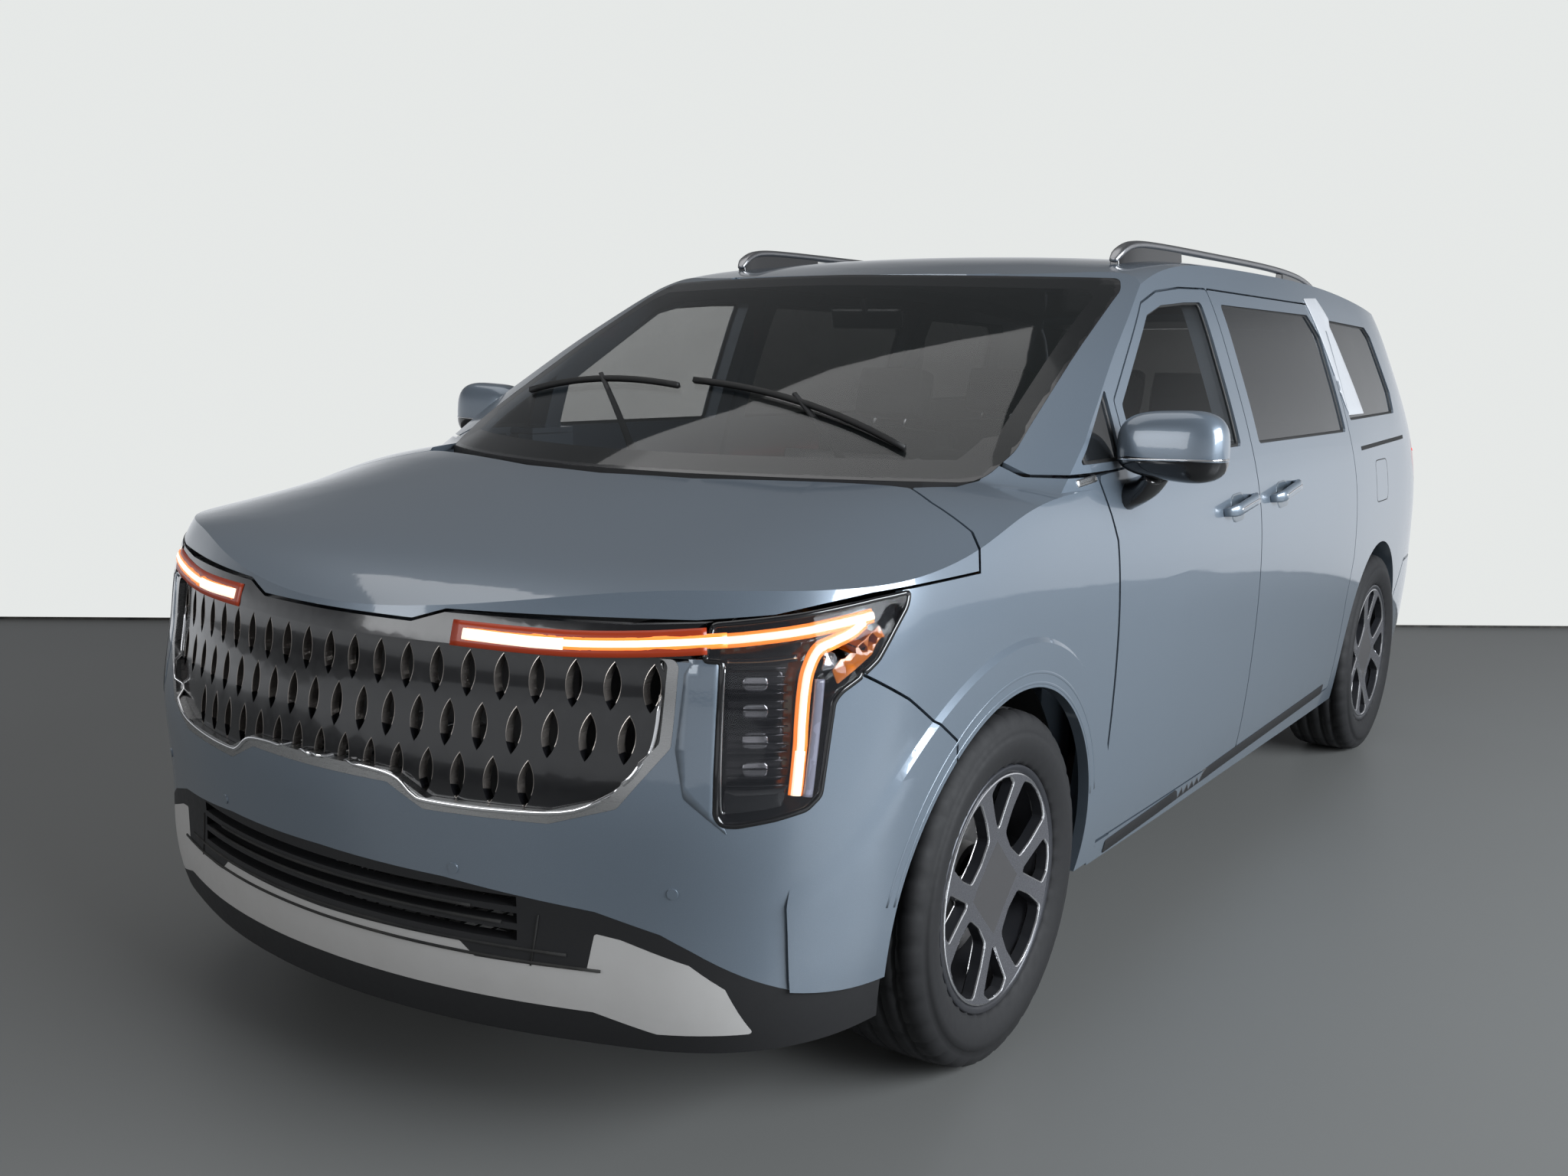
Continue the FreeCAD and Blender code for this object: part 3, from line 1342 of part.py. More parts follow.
def frontSuspension():
    """Cross member with its lower arms, and the upper struts with their springs."""
    tube = size("strutRadius")
    inner = size("railPlace") * 0.9
    beam = block(-size("railPlace"), size("railPlace"), frontAxle - tube * 3, frontAxle + tube * 3,
                 floorZ * 0.55, floorZ + floorThick)
    foot = onKingpin(wheelZ * ballShare)
    spots = ((foot.x + tube * 0.8, -tube), (foot.x + tube * 0.8, tube), (inner, tube * 7),
             (inner, -tube * 2.6), (foot.x * 0.84, -tube))
    points = [Vector(x, frontAxle + y, foot.z - tube * 1.6) for x, y in spots]
    arm = prism(rounded(points, tube), 0, Vector(0, 0, tube * 1.2))
    ball = rod(foot - steerAxis * tube, foot - steerAxis * seatGap, size("ballRadius"))
    spring = rod(onKingpin(wheelZ * 2.1) + steerAxis * seatGap, onKingpin(towerTop), size("springRadius"))
    return solids(beam.fuse(bothHalves(arm.fuse(ball))), spring, mirrored(spring))


def rearAxleBeam():
    """Twist beam ahead of the axle with trailing arms, stub axles, springs and calipers."""
    tube = size("beamRadius")
    stub = size("stubRadius")
    wall = size("linerWall")
    hubX = size("track") / 2 - size("discSet") - size("discThick") - seatGap
    armX = houseX + wall + 3 * stub
    spring = size("springRadius") * 0.8
    front = Vector(armX, place(0.84), floorZ * 0.82)
    hub = Vector(armX, rearAxle, wheelZ)
    meet = front + (hub - front) * 0.36
    beamZ = floorZ - tube - gap
    level = floorZ - seatGap
    roofOfHouse = wheelZ + math.sqrt(size("houseRadius") ** 2 - spring ** 2) - seatGap
    pieces = [
        rod(Vector(0, meet.y, beamZ), Vector(armX, meet.y, beamZ), tube),
        rod(Vector(armX - stub, rearAxle, wheelZ), Vector(hubX, rearAxle, wheelZ), stub),
        rod(Vector(hubX - tube, rearAxle, wheelZ), Vector(hubX, rearAxle, wheelZ), size("hubRadius") * 0.8),
        rod(front - xAxis * 2 * tube, front + xAxis * 2 * tube, stub),
        block(armX - 2 * tube, armX - tube * 1.2, front.y - stub, front.y + stub, front.z, level),
        block(armX + tube * 1.2, armX + 2 * tube, front.y - stub, front.y + stub, front.z, level),
        rod(hub, Vector(armX, rearAxle, roofOfHouse), spring),
        caliper(rearAxle, -1),
    ]
    arm = rod(front, hub, stub * 0.9)
    return onlySolid(bothHalves(arm.fuse(pieces)))


def exhaust():
    """Pipe along the floor with two silencers and a turned-down tail, on hangers."""
    pipe = size("exhaustPipe")
    x = size("exhaustPlace")
    z = floorZ - pipe * 2.4
    under = floorZ - size("beamRadius") * 2 - gap * 2 - pipe
    rear = floorZ - pipe * 2.4
    spots = (
        (x, place(0.10), z), (x, place(0.80), z), (x * 1.4, place(0.86), under), (x * 1.5, place(1.05), under),
        (x * 1.6, place(1.42), rear),
    )
    points = [Vector(*spot) for spot in spots]
    runs = [rod(first, second, pipe) for first, second in zip(points, points[1:])]
    runs += [Part.makeSphere(pipe, spot) for spot in points[1:-1]]
    box = Vector(x * 1.3, place(1.45), rear)
    tail = Vector(x * 3.1, place(1.45), rear)
    runs.append(rod(Vector(x, place(0.30), z), Vector(x, place(0.46), z), pipe * 2))
    runs.append(rod(points[-1], Vector(x * 1.6, box.y, rear), pipe))
    runs.append(rod(box, tail, pipe * 2))
    runs.append(rod(tail - xAxis * pipe, Vector(x * 3.2, place(1.80), rear - pipe / 2), pipe))
    for spot in (Vector(x, place(0.20), z), Vector(x, place(0.60), z), (box + tail) / 2):
        runs.append(rod(spot, Vector(spot.x, spot.y, floorZ - seatGap), size("hanger")))
    return onlySolid(runs[0].fuse(runs[1:]))


def boundBox(name, sizes, places, chamfer):
    """A box with its long edges eased, every size of it bound to the sheet."""
    box = doc.addObject("Part::Box", name + "_block")
    for side, formula in zip(("Length", "Width", "Height"), sizes):
        box.setExpression(side, "Sizes." + cell(formula))
    for axis, formula in zip("xyz", places):
        box.setExpression(".Placement.Base." + axis, "Sizes." + cell(formula))
    doc.recompute()
    eased = doc.addObject("Part::Chamfer", name)
    eased.Label = name
    eased.Base = box
    eased.Edges = [(index, chamfer, chamfer) for index in (1, 3, 5, 7)]
    parts.append(eased)


# Interior

cabinFloor = floorZ + floorThick


def seat(x, front, wide, rise, lean):
    """A plain seat: base, cushion, leaning back and head restraint, as one closed solid."""
    thick = size("seatThick")
    deep = size("seatDepth")
    tall = size("seatBack")
    top = cabinFloor + rise
    cushion = block(x - wide / 2, x + wide / 2, front, front + deep, top - thick, top)
    base = block(x - wide * 0.4, x + wide * 0.4, front + deep * 0.15, front + deep * 0.85, cabinFloor, top - thick)
    back = block(x - wide / 2, x + wide / 2, 0, thick, 0, tall)
    head = block(x - wide / 4, x + wide / 4, thick * 0.1, thick * 0.9, tall, tall + thick * 1.7)
    upper = back.fuse(head)
    upper.rotate(centre, xAxis, -lean)
    upper.translate(Vector(0, front + deep - thick, top - thick / 2))
    return onlySolid(cushion.fuse([base, upper]))


def frontSeats():
    wide = size("seatWidth")
    rise = size("seatRise")
    lean = size("seatLean")
    return solids(seat(size("seatPlace"), place(frontSeatShare), wide, rise, lean),
                  seat(-size("seatPlace"), place(frontSeatShare), wide, rise, lean))


frontSeatShare = 0.375
secondSeatShare = 0.640
thirdSeatShare = 0.930


def rearSeats():
    wide = size("seatWidth")
    rise = size("seatRise")
    lean = size("seatLean")
    pieces = []
    for x in (size("seatPlace"), -size("seatPlace")):
        pieces.append(seat(x, place(secondSeatShare), wide, rise, lean))
    for x in (size("benchPlace"), -size("benchPlace")):
        pieces.append(seat(x, place(thirdSeatShare), wide * 0.98, rise, lean))
    return solids(*pieces)


def instrumentPanel():
    """Dashboard from pillar to pillar with its console, and the steering column."""
    spots = (
        (0.175, 0.560), (0.180, 0.640), (0.205, 0.648), (0.262, 0.640), (0.275, 0.620), (0.262, 0.560),
        (0.235, 0.500), (0.228, 0.420), (0.205, 0.415), (0.195, 0.520),
    )
    wide = size("pillarInner") - seatGap
    points = [Vector(-wide, place(at), level * height) for at, level in spots]
    dash = prism(rounded(points, skin), 0, Vector(2 * wide, 0, 0))
    console = block(-size("consoleWidth") / 2, size("consoleWidth") / 2, place(0.208), place(0.42),
                    cabinFloor, height * 0.40)
    column = rod(columnEnd + columnAxis * (size("wheelGrip") * 1.2 + seatGap),
                 columnEnd + columnAxis * size("columnLength"), size("columnRadius"))
    return onlySolid(dash.fuse([console, column]))


columnAxis = Vector(0, -math.cos(math.radians(size("columnTilt"))), -math.sin(math.radians(size("columnTilt"))))
columnEnd = Vector(size("seatPlace"), place(0.297), height * 0.575)


def steeringWheel():
    """Rim, three spokes and hub of the steering wheel."""
    radius = size("wheelRimRadius")
    grip = size("wheelGrip")
    ring = Part.makeTorus(radius, grip, columnEnd, columnAxis)
    hub = Part.makeCylinder(radius * 0.36, grip * 2.4, columnEnd - columnAxis * grip * 1.2, columnAxis)
    spokes = []
    up = xAxis.cross(columnAxis)
    for angle in (0, 180, 270):
        way = xAxis * math.cos(math.radians(angle)) - up * math.sin(math.radians(angle))
        spokes.append(rod(columnEnd, columnEnd + way * radius, grip * 0.9))
    return onlySolid(ring.fuse([hub] + spokes))


# Fittings on the outside

def roofRails():
    """Rails standing on feet at both ends of the roof."""
    x = size("railSpread") / 2
    thick = size("railThick")
    spots = (
        (0.396, 0.950), (0.420, 0.990), (0.480, 1.000), (0.980, 1.000), (1.090, 0.986), (1.140, 0.945),
        (1.080, 0.945), (1.040, 0.976), (0.960, 0.986), (0.520, 0.987), (0.460, 0.980), (0.440, 0.950),
    )
    points = [Vector(x - thick / 2, place(at), level * height) for at, level in spots]
    rail = prism(rounded(points, thick), 0, Vector(thick, 0, 0)).cut(outside)
    rail = onlySolid(rail)
    return solids(rail, mirrored(rail))


def mirrorUnit():
    """Door mirror: stalk from the door skin and a rounded head with its glass face."""
    spots = (
        (0.174, 0.680), (0.178, 0.728), (0.190, 0.752), (0.206, 0.757), (0.212, 0.745), (0.212, 0.664),
        (0.184, 0.660),
    )
    reach = size("mirrorReach")
    inner = size("mirrorInner")
    points = [Vector(inner, place(at), level * height) for at, level in spots]
    head = prism(rounded(points, 2 * skin), 0, Vector(reach, 0, 0))
    taper = planPrism(mirrorPlanShares, skin, height * 0.6, height * 0.8)
    face = frontPrism(mirrorFaceShares, 2 * skin, place(0.1), place(0.3))
    head = head.common(taper).common(face)
    stalkSpots = ((0.180, 0.618), (0.183, 0.664), (0.203, 0.664), (0.196, 0.618))
    points = [Vector(inner - 5 * skin, place(at), level * height) for at, level in stalkSpots]
    stalk = prism(rounded(points, gap), 0, Vector(5.6 * skin, 0, 0)).cut(outside)
    return onlySolid(head.fuse(onlySolid(stalk)))


mirrorFaceShares = (
    (1.005, 0.672), (1.005, 0.712), (1.060, 0.744), (1.120, 0.757), (1.180, 0.746), (1.197, 0.712),
    (1.197, 0.674), (1.180, 0.658), (1.030, 0.660),
)
mirrorPlanShares = (
    (1.005, 0.184), (1.060, 0.176), (1.140, 0.179), (1.186, 0.187), (1.196, 0.200), (1.192, 0.212),
    (1.020, 0.212),
)


def cowl():
    """Black cowl that runs from under the hood's rear edge to the foot of the windscreen."""
    depth = 5 * gap
    cutter = planPrism(bothSides(cowlShares), gap, height * 0.60, height * 0.70)
    lid = cutter.common(hoodSolid(depth)).cut(hoodSolid(depth + skin))
    level = screenShapeShares[0][1] * height
    base = level - 3 * skin
    front = [Vector(share * halfWidth, screenY(share * halfWidth, level) - gap, base) for share in lipColumnShares]
    back = [point + yAxis * skin for point in reversed(front)]
    lip = prism(Part.makePolygon(front + back + [front[0]]), 0, Vector(0, 0, level - seatGap - base))
    lid = lid.fuse(lip)
    for side in (1, -1):
        lid = lid.cut(hingeRoom(side))
    return onlySolid(lid)


cowlShares = (
    (0.000, -0.165), (0.790, -0.060), (0.790, 0.055), (0.700, 0.034), (0.500, 0.000), (0.300, -0.074),
    (0.000, -0.114),
)
lipColumnShares = (-0.79, -0.7, -0.6, -0.5, -0.4, -0.3, -0.2, -0.1, 0, 0.1, 0.2, 0.3, 0.4, 0.5, 0.6, 0.7,
                   0.79)
engine = ("engineWide", "engineLong", "engineTall")


def assemble():
    """Every sub-part under its own name."""
    node("floor_pan", floorPan())
    frame = onlySolid(sideFrame())
    node("side_frame_left", frame)
    node("side_frame_right", mirrored(frame))
    node("roof_panel", roofPanel())
    fender = fenderPanel()
    node("fender_left", fender)
    node("fender_right", mirrored(fender))
    node("hood", hoodPanel())
    node("front_bumper", bumperPanel())
    node("front_valance", valance())
    node("skid_garnish", skidGarnish())
    node("grille", grille())
    node("grille_surround", grilleSurround())
    node("lamp_bar", lampBar())
    lamp = headlamp()
    node("headlamps", solids(lamp, mirrored(lamp)))
    node("rear_bumper", rearBumper())
    lamp = tailLamp()
    node("tail_lamps", solids(lamp, mirrored(lamp)))
    node("windscreen", windscreen())
    node("roof_rails", roofRails())
    node("cowl", cowl())
    node("liftgate", liftgate())
    node("liftgate_glass", liftgateGlass())
    front = frontDoor()
    sliding = slidingDoor()
    frontGlass = sideGlass(frontGlassShares, -seatGap)
    slidingGlass = sideGlass(slidingGlassShares, -seatGap)
    quarter = sideGlass(quarterGlassShares, -seatGap)
    sail = sideGlass(sailGlassShares, -seatGap)
    mirror = mirrorUnit()
    for name, flip in (("left", False), ("right", True)):
        for label, shape in (
                ("front_door_", front), ("sliding_door_", sliding), ("front_door_glass_", frontGlass),
                ("sliding_door_glass_", slidingGlass), ("door_mirror_", mirror)):
            node(label + name, mirrored(shape) if flip else shape)
    node("fixed_side_glass", solids(quarter, sail, mirrored(quarter), mirrored(sail)))
    node("instrument_panel", instrumentPanel())
    node("steering_wheel", steeringWheel())
    node("front_seats", frontSeats())
    node("rear_seats", rearSeats())
    upright = knuckle()
    node("knuckle_left", upright)
    node("knuckle_right", mirrored(upright))
    node("front_suspension", frontSuspension())
    node("rear_axle", rearAxleBeam())
    node("exhaust", exhaust())
    boundBox("engine_block", engine, (
        "-engineWide / 2", "(frontOverhang - rearOverhang - wheelbase) / 2 - enginePlace",
        "floorHeight + floorThick * 2"), size("engineEase"))
    boundBox("fuel_tank", ("tankWide", "tankLong", "tankTall"), (
        "-tankWide / 2 - exhaustPlace * 2", "(frontOverhang - rearOverhang + wheelbase) / 2 - tankPlace",
        "floorHeight - tankTall - seatGap"), size("engineEase"))
    for name, side, end in wheelPlaces:
        tyre(name, side, end)
        rim(name, side, end)


def check():
    """Stops on any failed object or unsound shape."""
    doc.recompute()
    for item in doc.Objects:
        if "Invalid" in item.State or "Error" in item.State:
            raise RuntimeError("failed: " + item.Name)
    for part in parts:
        if part.Shape.isNull() or not part.Shape.isValid() or not part.Shape.Solids:
            raise RuntimeError("unsound: " + part.Label)


def export():
    os.makedirs("parts", exist_ok=True)
    for part in parts:
        part.Shape.exportStep("parts/%s.step" % part.Label)
        print(part.Label, len(part.Shape.Solids), round(part.Shape.Volume / 1e6, 2))


assemble()
check()
export()
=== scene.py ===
import bpy
import bmesh
import math
from mathutils import Matrix, Vector
from mathutils.bvhtree import BVHTree
from mathutils.geometry import delaunay_2d_cdt
from mathutils.kdtree import KDTree


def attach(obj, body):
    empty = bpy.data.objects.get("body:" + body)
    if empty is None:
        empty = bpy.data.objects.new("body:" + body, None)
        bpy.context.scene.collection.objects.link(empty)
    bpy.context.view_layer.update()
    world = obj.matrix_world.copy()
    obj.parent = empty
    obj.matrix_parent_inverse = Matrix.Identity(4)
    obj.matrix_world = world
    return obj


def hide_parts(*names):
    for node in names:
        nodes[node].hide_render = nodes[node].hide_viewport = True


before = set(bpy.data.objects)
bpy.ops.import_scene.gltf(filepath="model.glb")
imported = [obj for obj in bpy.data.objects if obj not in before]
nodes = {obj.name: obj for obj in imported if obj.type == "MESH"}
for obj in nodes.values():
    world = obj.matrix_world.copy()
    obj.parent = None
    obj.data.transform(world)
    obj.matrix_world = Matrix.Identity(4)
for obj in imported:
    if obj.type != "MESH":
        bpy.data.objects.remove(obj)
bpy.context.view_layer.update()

scene = bpy.context.scene
scene.view_settings.view_transform = "Standard"
print("frame loaded,", len(nodes), "nodes")


# Camera, at the place and angle that the photograph was taken from

cameraSettings = {"spot": (2.22128, -4.27787, 1.44977), "yaw": -34.3263, "down": 9.1707, "roll": 1.0963, "lens": 33.84}


def makeCamera(settings):
    yaw, down, roll = (math.radians(settings[key]) for key in ("yaw", "down", "roll"))
    ahead = Vector((math.sin(yaw) * math.cos(down), math.cos(yaw) * math.cos(down), -math.sin(down)))
    right = ahead.cross(Vector((0, 0, 1))).normalized()
    up = right.cross(ahead)
    across = right * math.cos(roll) + up * math.sin(roll)
    upward = up * math.cos(roll) - right * math.sin(roll)
    turn = Matrix((across, upward, -ahead)).transposed().to_4x4()
    data = bpy.data.cameras.new("camera")
    data.lens = settings["lens"]
    data.sensor_width = 36
    data.clip_end = 200
    camera = bpy.data.objects.new("camera", data)
    camera.matrix_world = Matrix.Translation(settings["spot"]) @ turn
    scene.collection.objects.link(camera)
    scene.camera = camera


makeCamera(cameraSettings)


# Node helpers for materials

def setInputs(tree, node, values):
    for key, value in values.items():
        if isinstance(value, bpy.types.NodeSocket):
            tree.links.new(value, node.inputs[key])
        else:
            node.inputs[key].default_value = value


def newMaterial(name):
    material = bpy.data.materials.new(name)
    material.use_nodes = True
    tree = material.node_tree
    shader = next(node for node in tree.nodes if node.type == "BSDF_PRINCIPLED")
    return material, tree, shader, tree.nodes.new("ShaderNodeTexCoord").outputs["Object"]


def addNode(tree, kind, inputs, **options):
    node = tree.nodes.new("ShaderNode" + kind)
    for key, value in options.items():
        setattr(node, key, value)
    setInputs(tree, node, inputs)
    return node


def newGroup(name, inputs, outputs):
    group = bpy.data.node_groups.new(name, "ShaderNodeTree")
    for label, kind, value in inputs:
        socket = group.interface.new_socket(label, in_out="INPUT", socket_type="NodeSocket" + kind)
        if value is not None:
            socket.default_value = value
    for label, kind in outputs:
        group.interface.new_socket(label, in_out="OUTPUT", socket_type="NodeSocket" + kind)
    return group, group.nodes.new("NodeGroupInput").outputs, group.nodes.new("NodeGroupOutput")


def placeGroup(tree, group, **values):
    node = tree.nodes.new("ShaderNodeGroup")
    node.node_tree = group
    setInputs(tree, node, values)
    return node.outputs


def calculate(tree, operation, first, second):
    return addNode(tree, "Math", {0: first, 1: second}, operation=operation).outputs[0]


def noiseOn(tree, spot, scale, **others):
    return addNode(tree, "TexNoise", {"Vector": spot, "Scale": scale, **others}).outputs["Fac"]


def remap(tree, value, low, high, **others):
    return addNode(tree, "MapRange", {"Value": value, "To Min": low, "To Max": high, **others}).outputs["Result"]


def scaled(tree, vector, factor):
    return addNode(tree, "VectorMath", {0: vector, "Scale": factor}, operation="SCALE").outputs["Vector"]


def bumped(tree, height, strength, distance):
    return addNode(tree, "Bump", {"Height": height, "Strength": strength, "Distance": distance}).outputs["Normal"]


# Effects that several materials share

def buildFlakes():
    group, source, result = newGroup(
        "metalFlakes",
        [("Vector", "Vector", None), ("Scale", "Float", 900.0), ("Strength", "Float", 0.12),
         ("Base", "Color", (0.2, 0.25, 0.3, 1))],
        [("Color", "Color"), ("Drift", "Float")])
    cells = addNode(group, "TexVoronoi", {"Vector": source["Vector"], "Scale": source["Scale"]}).outputs["Distance"]
    push = calculate(group, "MULTIPLY", calculate(group, "ADD", cells, -0.4), source["Strength"])
    drift = remap(group, noiseOn(group, source["Vector"], 1.7, Detail=2.0), 0.97, 1.03)
    both = calculate(group, "MULTIPLY", calculate(group, "ADD", push, 1.0), drift)
    setInputs(group, result, {"Color": scaled(group, source["Base"], both), "Drift": drift})
    return group


def buildRoadDust():
    group, source, result = newGroup(
        "roadDust",
        [("Vector", "Vector", None), ("Top", "Float", 0.75), ("Amount", "Float", 0.25),
         ("Clean", "Color", (0.1, 0.1, 0.1, 1)),
         ("Dust", "Color", (0.22, 0.20, 0.17, 1))],
        [("Color", "Color"), ("Mask", "Float")])
    height = addNode(group, "SeparateXYZ", {"Vector": source["Vector"]}).outputs["Z"]
    low = remap(group, height, 1.0, 0.0, **{"From Min": 0.05, "From Max": source["Top"]})
    patchy = remap(group, noiseOn(group, source["Vector"], 9.0, Detail=8.0, Roughness=0.65), 0.0, 1.0,
                   **{"From Min": 0.35, "From Max": 0.75})
    thin = calculate(group, "MULTIPLY", calculate(group, "MULTIPLY", low, patchy), source["Amount"])
    mixed = addNode(group, "MixRGB", {"Fac": thin, "Color1": source["Clean"], "Color2": source["Dust"]})
    setInputs(group, result, {"Color": mixed.outputs["Color"], "Mask": thin})
    return group


def buildGrain():
    group, source, result = newGroup(
        "mouldedGrain", [("Vector", "Vector", None), ("Scale", "Float", 420.0), ("Depth", "Float", 0.3)],
        [("Height", "Float"), ("Rough", "Float")])
    cells = addNode(group, "TexVoronoi", {"Vector": source["Vector"], "Scale": source["Scale"]}).outputs["Distance"]
    noise = noiseOn(group, source["Vector"], 60.0, Detail=6.0)
    height = calculate(group, "ADD", calculate(group, "MULTIPLY", cells, source["Depth"]), noise)
    setInputs(group, result, {"Height": height, "Rough": remap(group, noise, -0.07, 0.07)})
    return group


flakes, roadDust, grain = buildFlakes(), buildRoadDust(), buildGrain()
print("shader groups built")


# Materials

# paintColours["shaded"] is a darker copy of the body paint, used on the door-handle recesses as painted shade
paintColours = {"body": (0.150, 0.186, 0.228), "shaded": (0.10, 0.127, 0.153), "dust": (0.20, 0.19, 0.17, 1)}


def paintMaterial(name, colour):
    material, tree, shader, spot = newMaterial(name)
    fleck = placeGroup(tree, flakes, Vector=spot, Base=(*colour, 1))
    dusty = placeGroup(tree, roadDust, Vector=spot, Top=0.55, Amount=0.16, Clean=fleck["Color"],
                       Dust=paintColours["dust"])
    setInputs(tree, shader, {
        "Base Color": dusty["Color"], "Metallic": 0.42, "Coat Weight": 1.0, "Coat Roughness": 0.035,
        "Roughness": calculate(tree, "ADD", calculate(tree, "MULTIPLY", dusty["Mask"], 0.5), 0.33),
        "Coat Normal": bumped(tree, noiseOn(tree, spot, 150.0, Detail=2.0), 0.02, 0.002)})
    return material


def plasticMaterial(name, colour, rough, depth=0.3, scale=420.0, dust=0.2, strength=0.25, coat=0.0):
    material, tree, shader, spot = newMaterial(name)
    skin = placeGroup(tree, grain, Vector=spot, Scale=scale, Depth=depth)
    dusty = placeGroup(tree, roadDust, Vector=spot, Top=0.6, Amount=dust, Clean=(*colour, 1))
    setInputs(tree, shader, {
        "Base Color": dusty["Color"], "Roughness": calculate(tree, "ADD", skin["Rough"], rough), "Coat Weight": coat,
        "Coat Roughness": 0.05, "Normal": bumped(tree, skin["Height"], strength, 0.0006)})
    return material


def metalMaterial(name, colour, rough, scratch=0.05, scale=(40, 40, 400), metallic=1.0, dust=0.1):
    material, tree, shader, spot = newMaterial(name)
    stretch = addNode(tree, "Mapping", {"Vector": spot, "Scale": scale})
    noise = noiseOn(tree, stretch.outputs["Vector"], 1.0, Detail=6.0)
    dusty = placeGroup(tree, roadDust, Vector=spot, Top=0.7, Amount=dust, Clean=(*colour, 1))
    setInputs(tree, shader, {"Base Color": dusty["Color"],
                             "Roughness": remap(tree, noise, rough - scratch, rough + scratch),
                             "Metallic": metallic})
    return material


def paneMaterial(name, colour, alpha):
    material, tree, shader, spot = newMaterial(name)
    noise = noiseOn(tree, spot, 3.0, Detail=8.0, Roughness=0.6)
    setInputs(tree, shader, {
        "Base Color": (*colour, 1), "Roughness": remap(tree, noise, 0.0, 0.06),
        "Alpha": remap(tree, noise, alpha - 0.03, alpha + 0.03), "Specular IOR Level": 0.6, "Coat Weight": 0.5,
        "Coat Roughness": 0.01})
    return material


def glowMaterial(name, colour, strength):
    material, tree, shader, spot = newMaterial(name)
    tone = remap(tree, noiseOn(tree, spot, 40.0), 0.92, 1.0)
    setInputs(tree, shader, {"Emission Color": scaled(tree, colour, tone), "Base Color": (*colour, 1),
                             "Emission Strength": strength, "Roughness": 0.3})
    return material


paint = paintMaterial("blueGreyPaint", paintColours["body"])
# Darker body paint for the door-handle recesses: painted shade for the shade inside the recess
handleCupPaintedShade = paintMaterial("shadedPaint", paintColours["shaded"])
blackPlastic = plasticMaterial("blackPlastic", (0.006, 0.006, 0.007), 0.62, dust=0.0)
glossBlack = plasticMaterial("glossBlack", (0.006, 0.006, 0.007), 0.16, depth=0.05, strength=0.02, dust=0.05, coat=0.6)
silverPlastic = plasticMaterial("silverPlastic", (0.42, 0.41, 0.40), 0.42, depth=0.1, strength=0.04, dust=0.25)
garnishSilver = plasticMaterial("garnishSilver", (0.42, 0.43, 0.45), 0.35, depth=0.05, strength=0.03, dust=0.05,
                                coat=0.3)
plateWhite = plasticMaterial("plateWhite", (0.62, 0.62, 0.60), 0.4, depth=0.05, strength=0.03)
paleGuide = plasticMaterial("paleGuide", (0.26, 0.26, 0.33), 0.2, depth=0.02, strength=0.02, dust=0.0, coat=0.5)
tyreRubber = plasticMaterial("tyreRubber", (0.003, 0.003, 0.004), 0.74, depth=0.2, scale=700.0, dust=0.0)
rubber = plasticMaterial("sealRubber", (0.006, 0.006, 0.006), 0.6, depth=0.2, scale=500.0, dust=0.05)
underBlack = plasticMaterial("underBlack", (0.02, 0.02, 0.02), 0.7, dust=0.45)
linerBlack = plasticMaterial("linerBlack", (0.008, 0.008, 0.008), 0.85, dust=0.3)
dashPlastic = plasticMaterial("dashPlastic", (0.014, 0.014, 0.015), 0.6, scale=700.0)
seatLeather = plasticMaterial("seatLeather", (0.012, 0.012, 0.013), 0.6, depth=0.2, scale=240.0, dust=0.0,
                              strength=0.03)
chrome = metalMaterial("brightTrim", (0.72, 0.72, 0.73), 0.14)
satinChrome = metalMaterial("satinTrim", (0.50, 0.50, 0.50), 0.28)
slitSilver = metalMaterial("slitSilver", (0.42, 0.38, 0.35), 0.25, metallic=0.9, dust=0.0)
railSilver = metalMaterial("railSilver", (0.34, 0.34, 0.35), 0.34, dust=0.0)
wheelDark = metalMaterial("wheelDark", (0.045, 0.047, 0.055), 0.32, metallic=0.6, dust=0.15)
wheelFace = metalMaterial("wheelFace", (0.30, 0.30, 0.33), 0.28, metallic=0.9, scale=(300, 300, 300), dust=0.05)
wheelPlate = metalMaterial("wheelPlate", (0.19, 0.185, 0.19), 0.36, metallic=0.85, scale=(200, 200, 200), dust=0.05)
wheelEdge = metalMaterial("wheelEdge", (0.78, 0.78, 0.80), 0.16, dust=0.05)
castIron = metalMaterial("castIron", (0.09, 0.085, 0.08), 0.6, metallic=0.7, dust=0.4)
discSteel = metalMaterial("discSteel", (0.42, 0.41, 0.40), 0.35, scale=(30, 600, 600))
pipeSteel = metalMaterial("pipeSteel", (0.26, 0.25, 0.24), 0.45, dust=0.5)
engineCast = metalMaterial("engineCast", (0.16, 0.16, 0.16), 0.5, metallic=0.8, dust=0.4)
smokedChrome = metalMaterial("smokedChrome", (0.05, 0.048, 0.052), 0.22, metallic=0.9, dust=0.0)
crystal = metalMaterial("lampCrystal", (0.36, 0.355, 0.38), 0.12, metallic=0.85, dust=0.0)
warmTrim = metalMaterial("warmTrim", (0.55, 0.36, 0.24), 0.2, dust=0.0)
windscreenGlass = paneMaterial("windscreenGlass", (0.008, 0.010, 0.010), 0.42)
sideGlass = paneMaterial("sideGlass", (0.008, 0.009, 0.009), 0.22)
privacyGlass = paneMaterial("privacyGlass", (0.012, 0.013, 0.014), 0.82)
clearLens = paneMaterial("clearLens", (0.05, 0.052, 0.058), 0.13)
redLens = paneMaterial("redLens", (0.35, 0.008, 0.008), 0.90)
amberLens = paneMaterial("amberLens", (0.55, 0.14, 0.01), 0.92)
warmGlow = glowMaterial("dayLight", (1.0, 0.80, 0.62), 1.1)
haloGlow = glowMaterial("haloGlow", (1.0, 0.24, 0.04), 0.9)
dimGlow = glowMaterial("dimGlow", (0.30, 0.030, 0.006), 0.16)
redGlow = glowMaterial("tailGlow", (0.60, 0.010, 0.006), 0.45)
print("materials built")


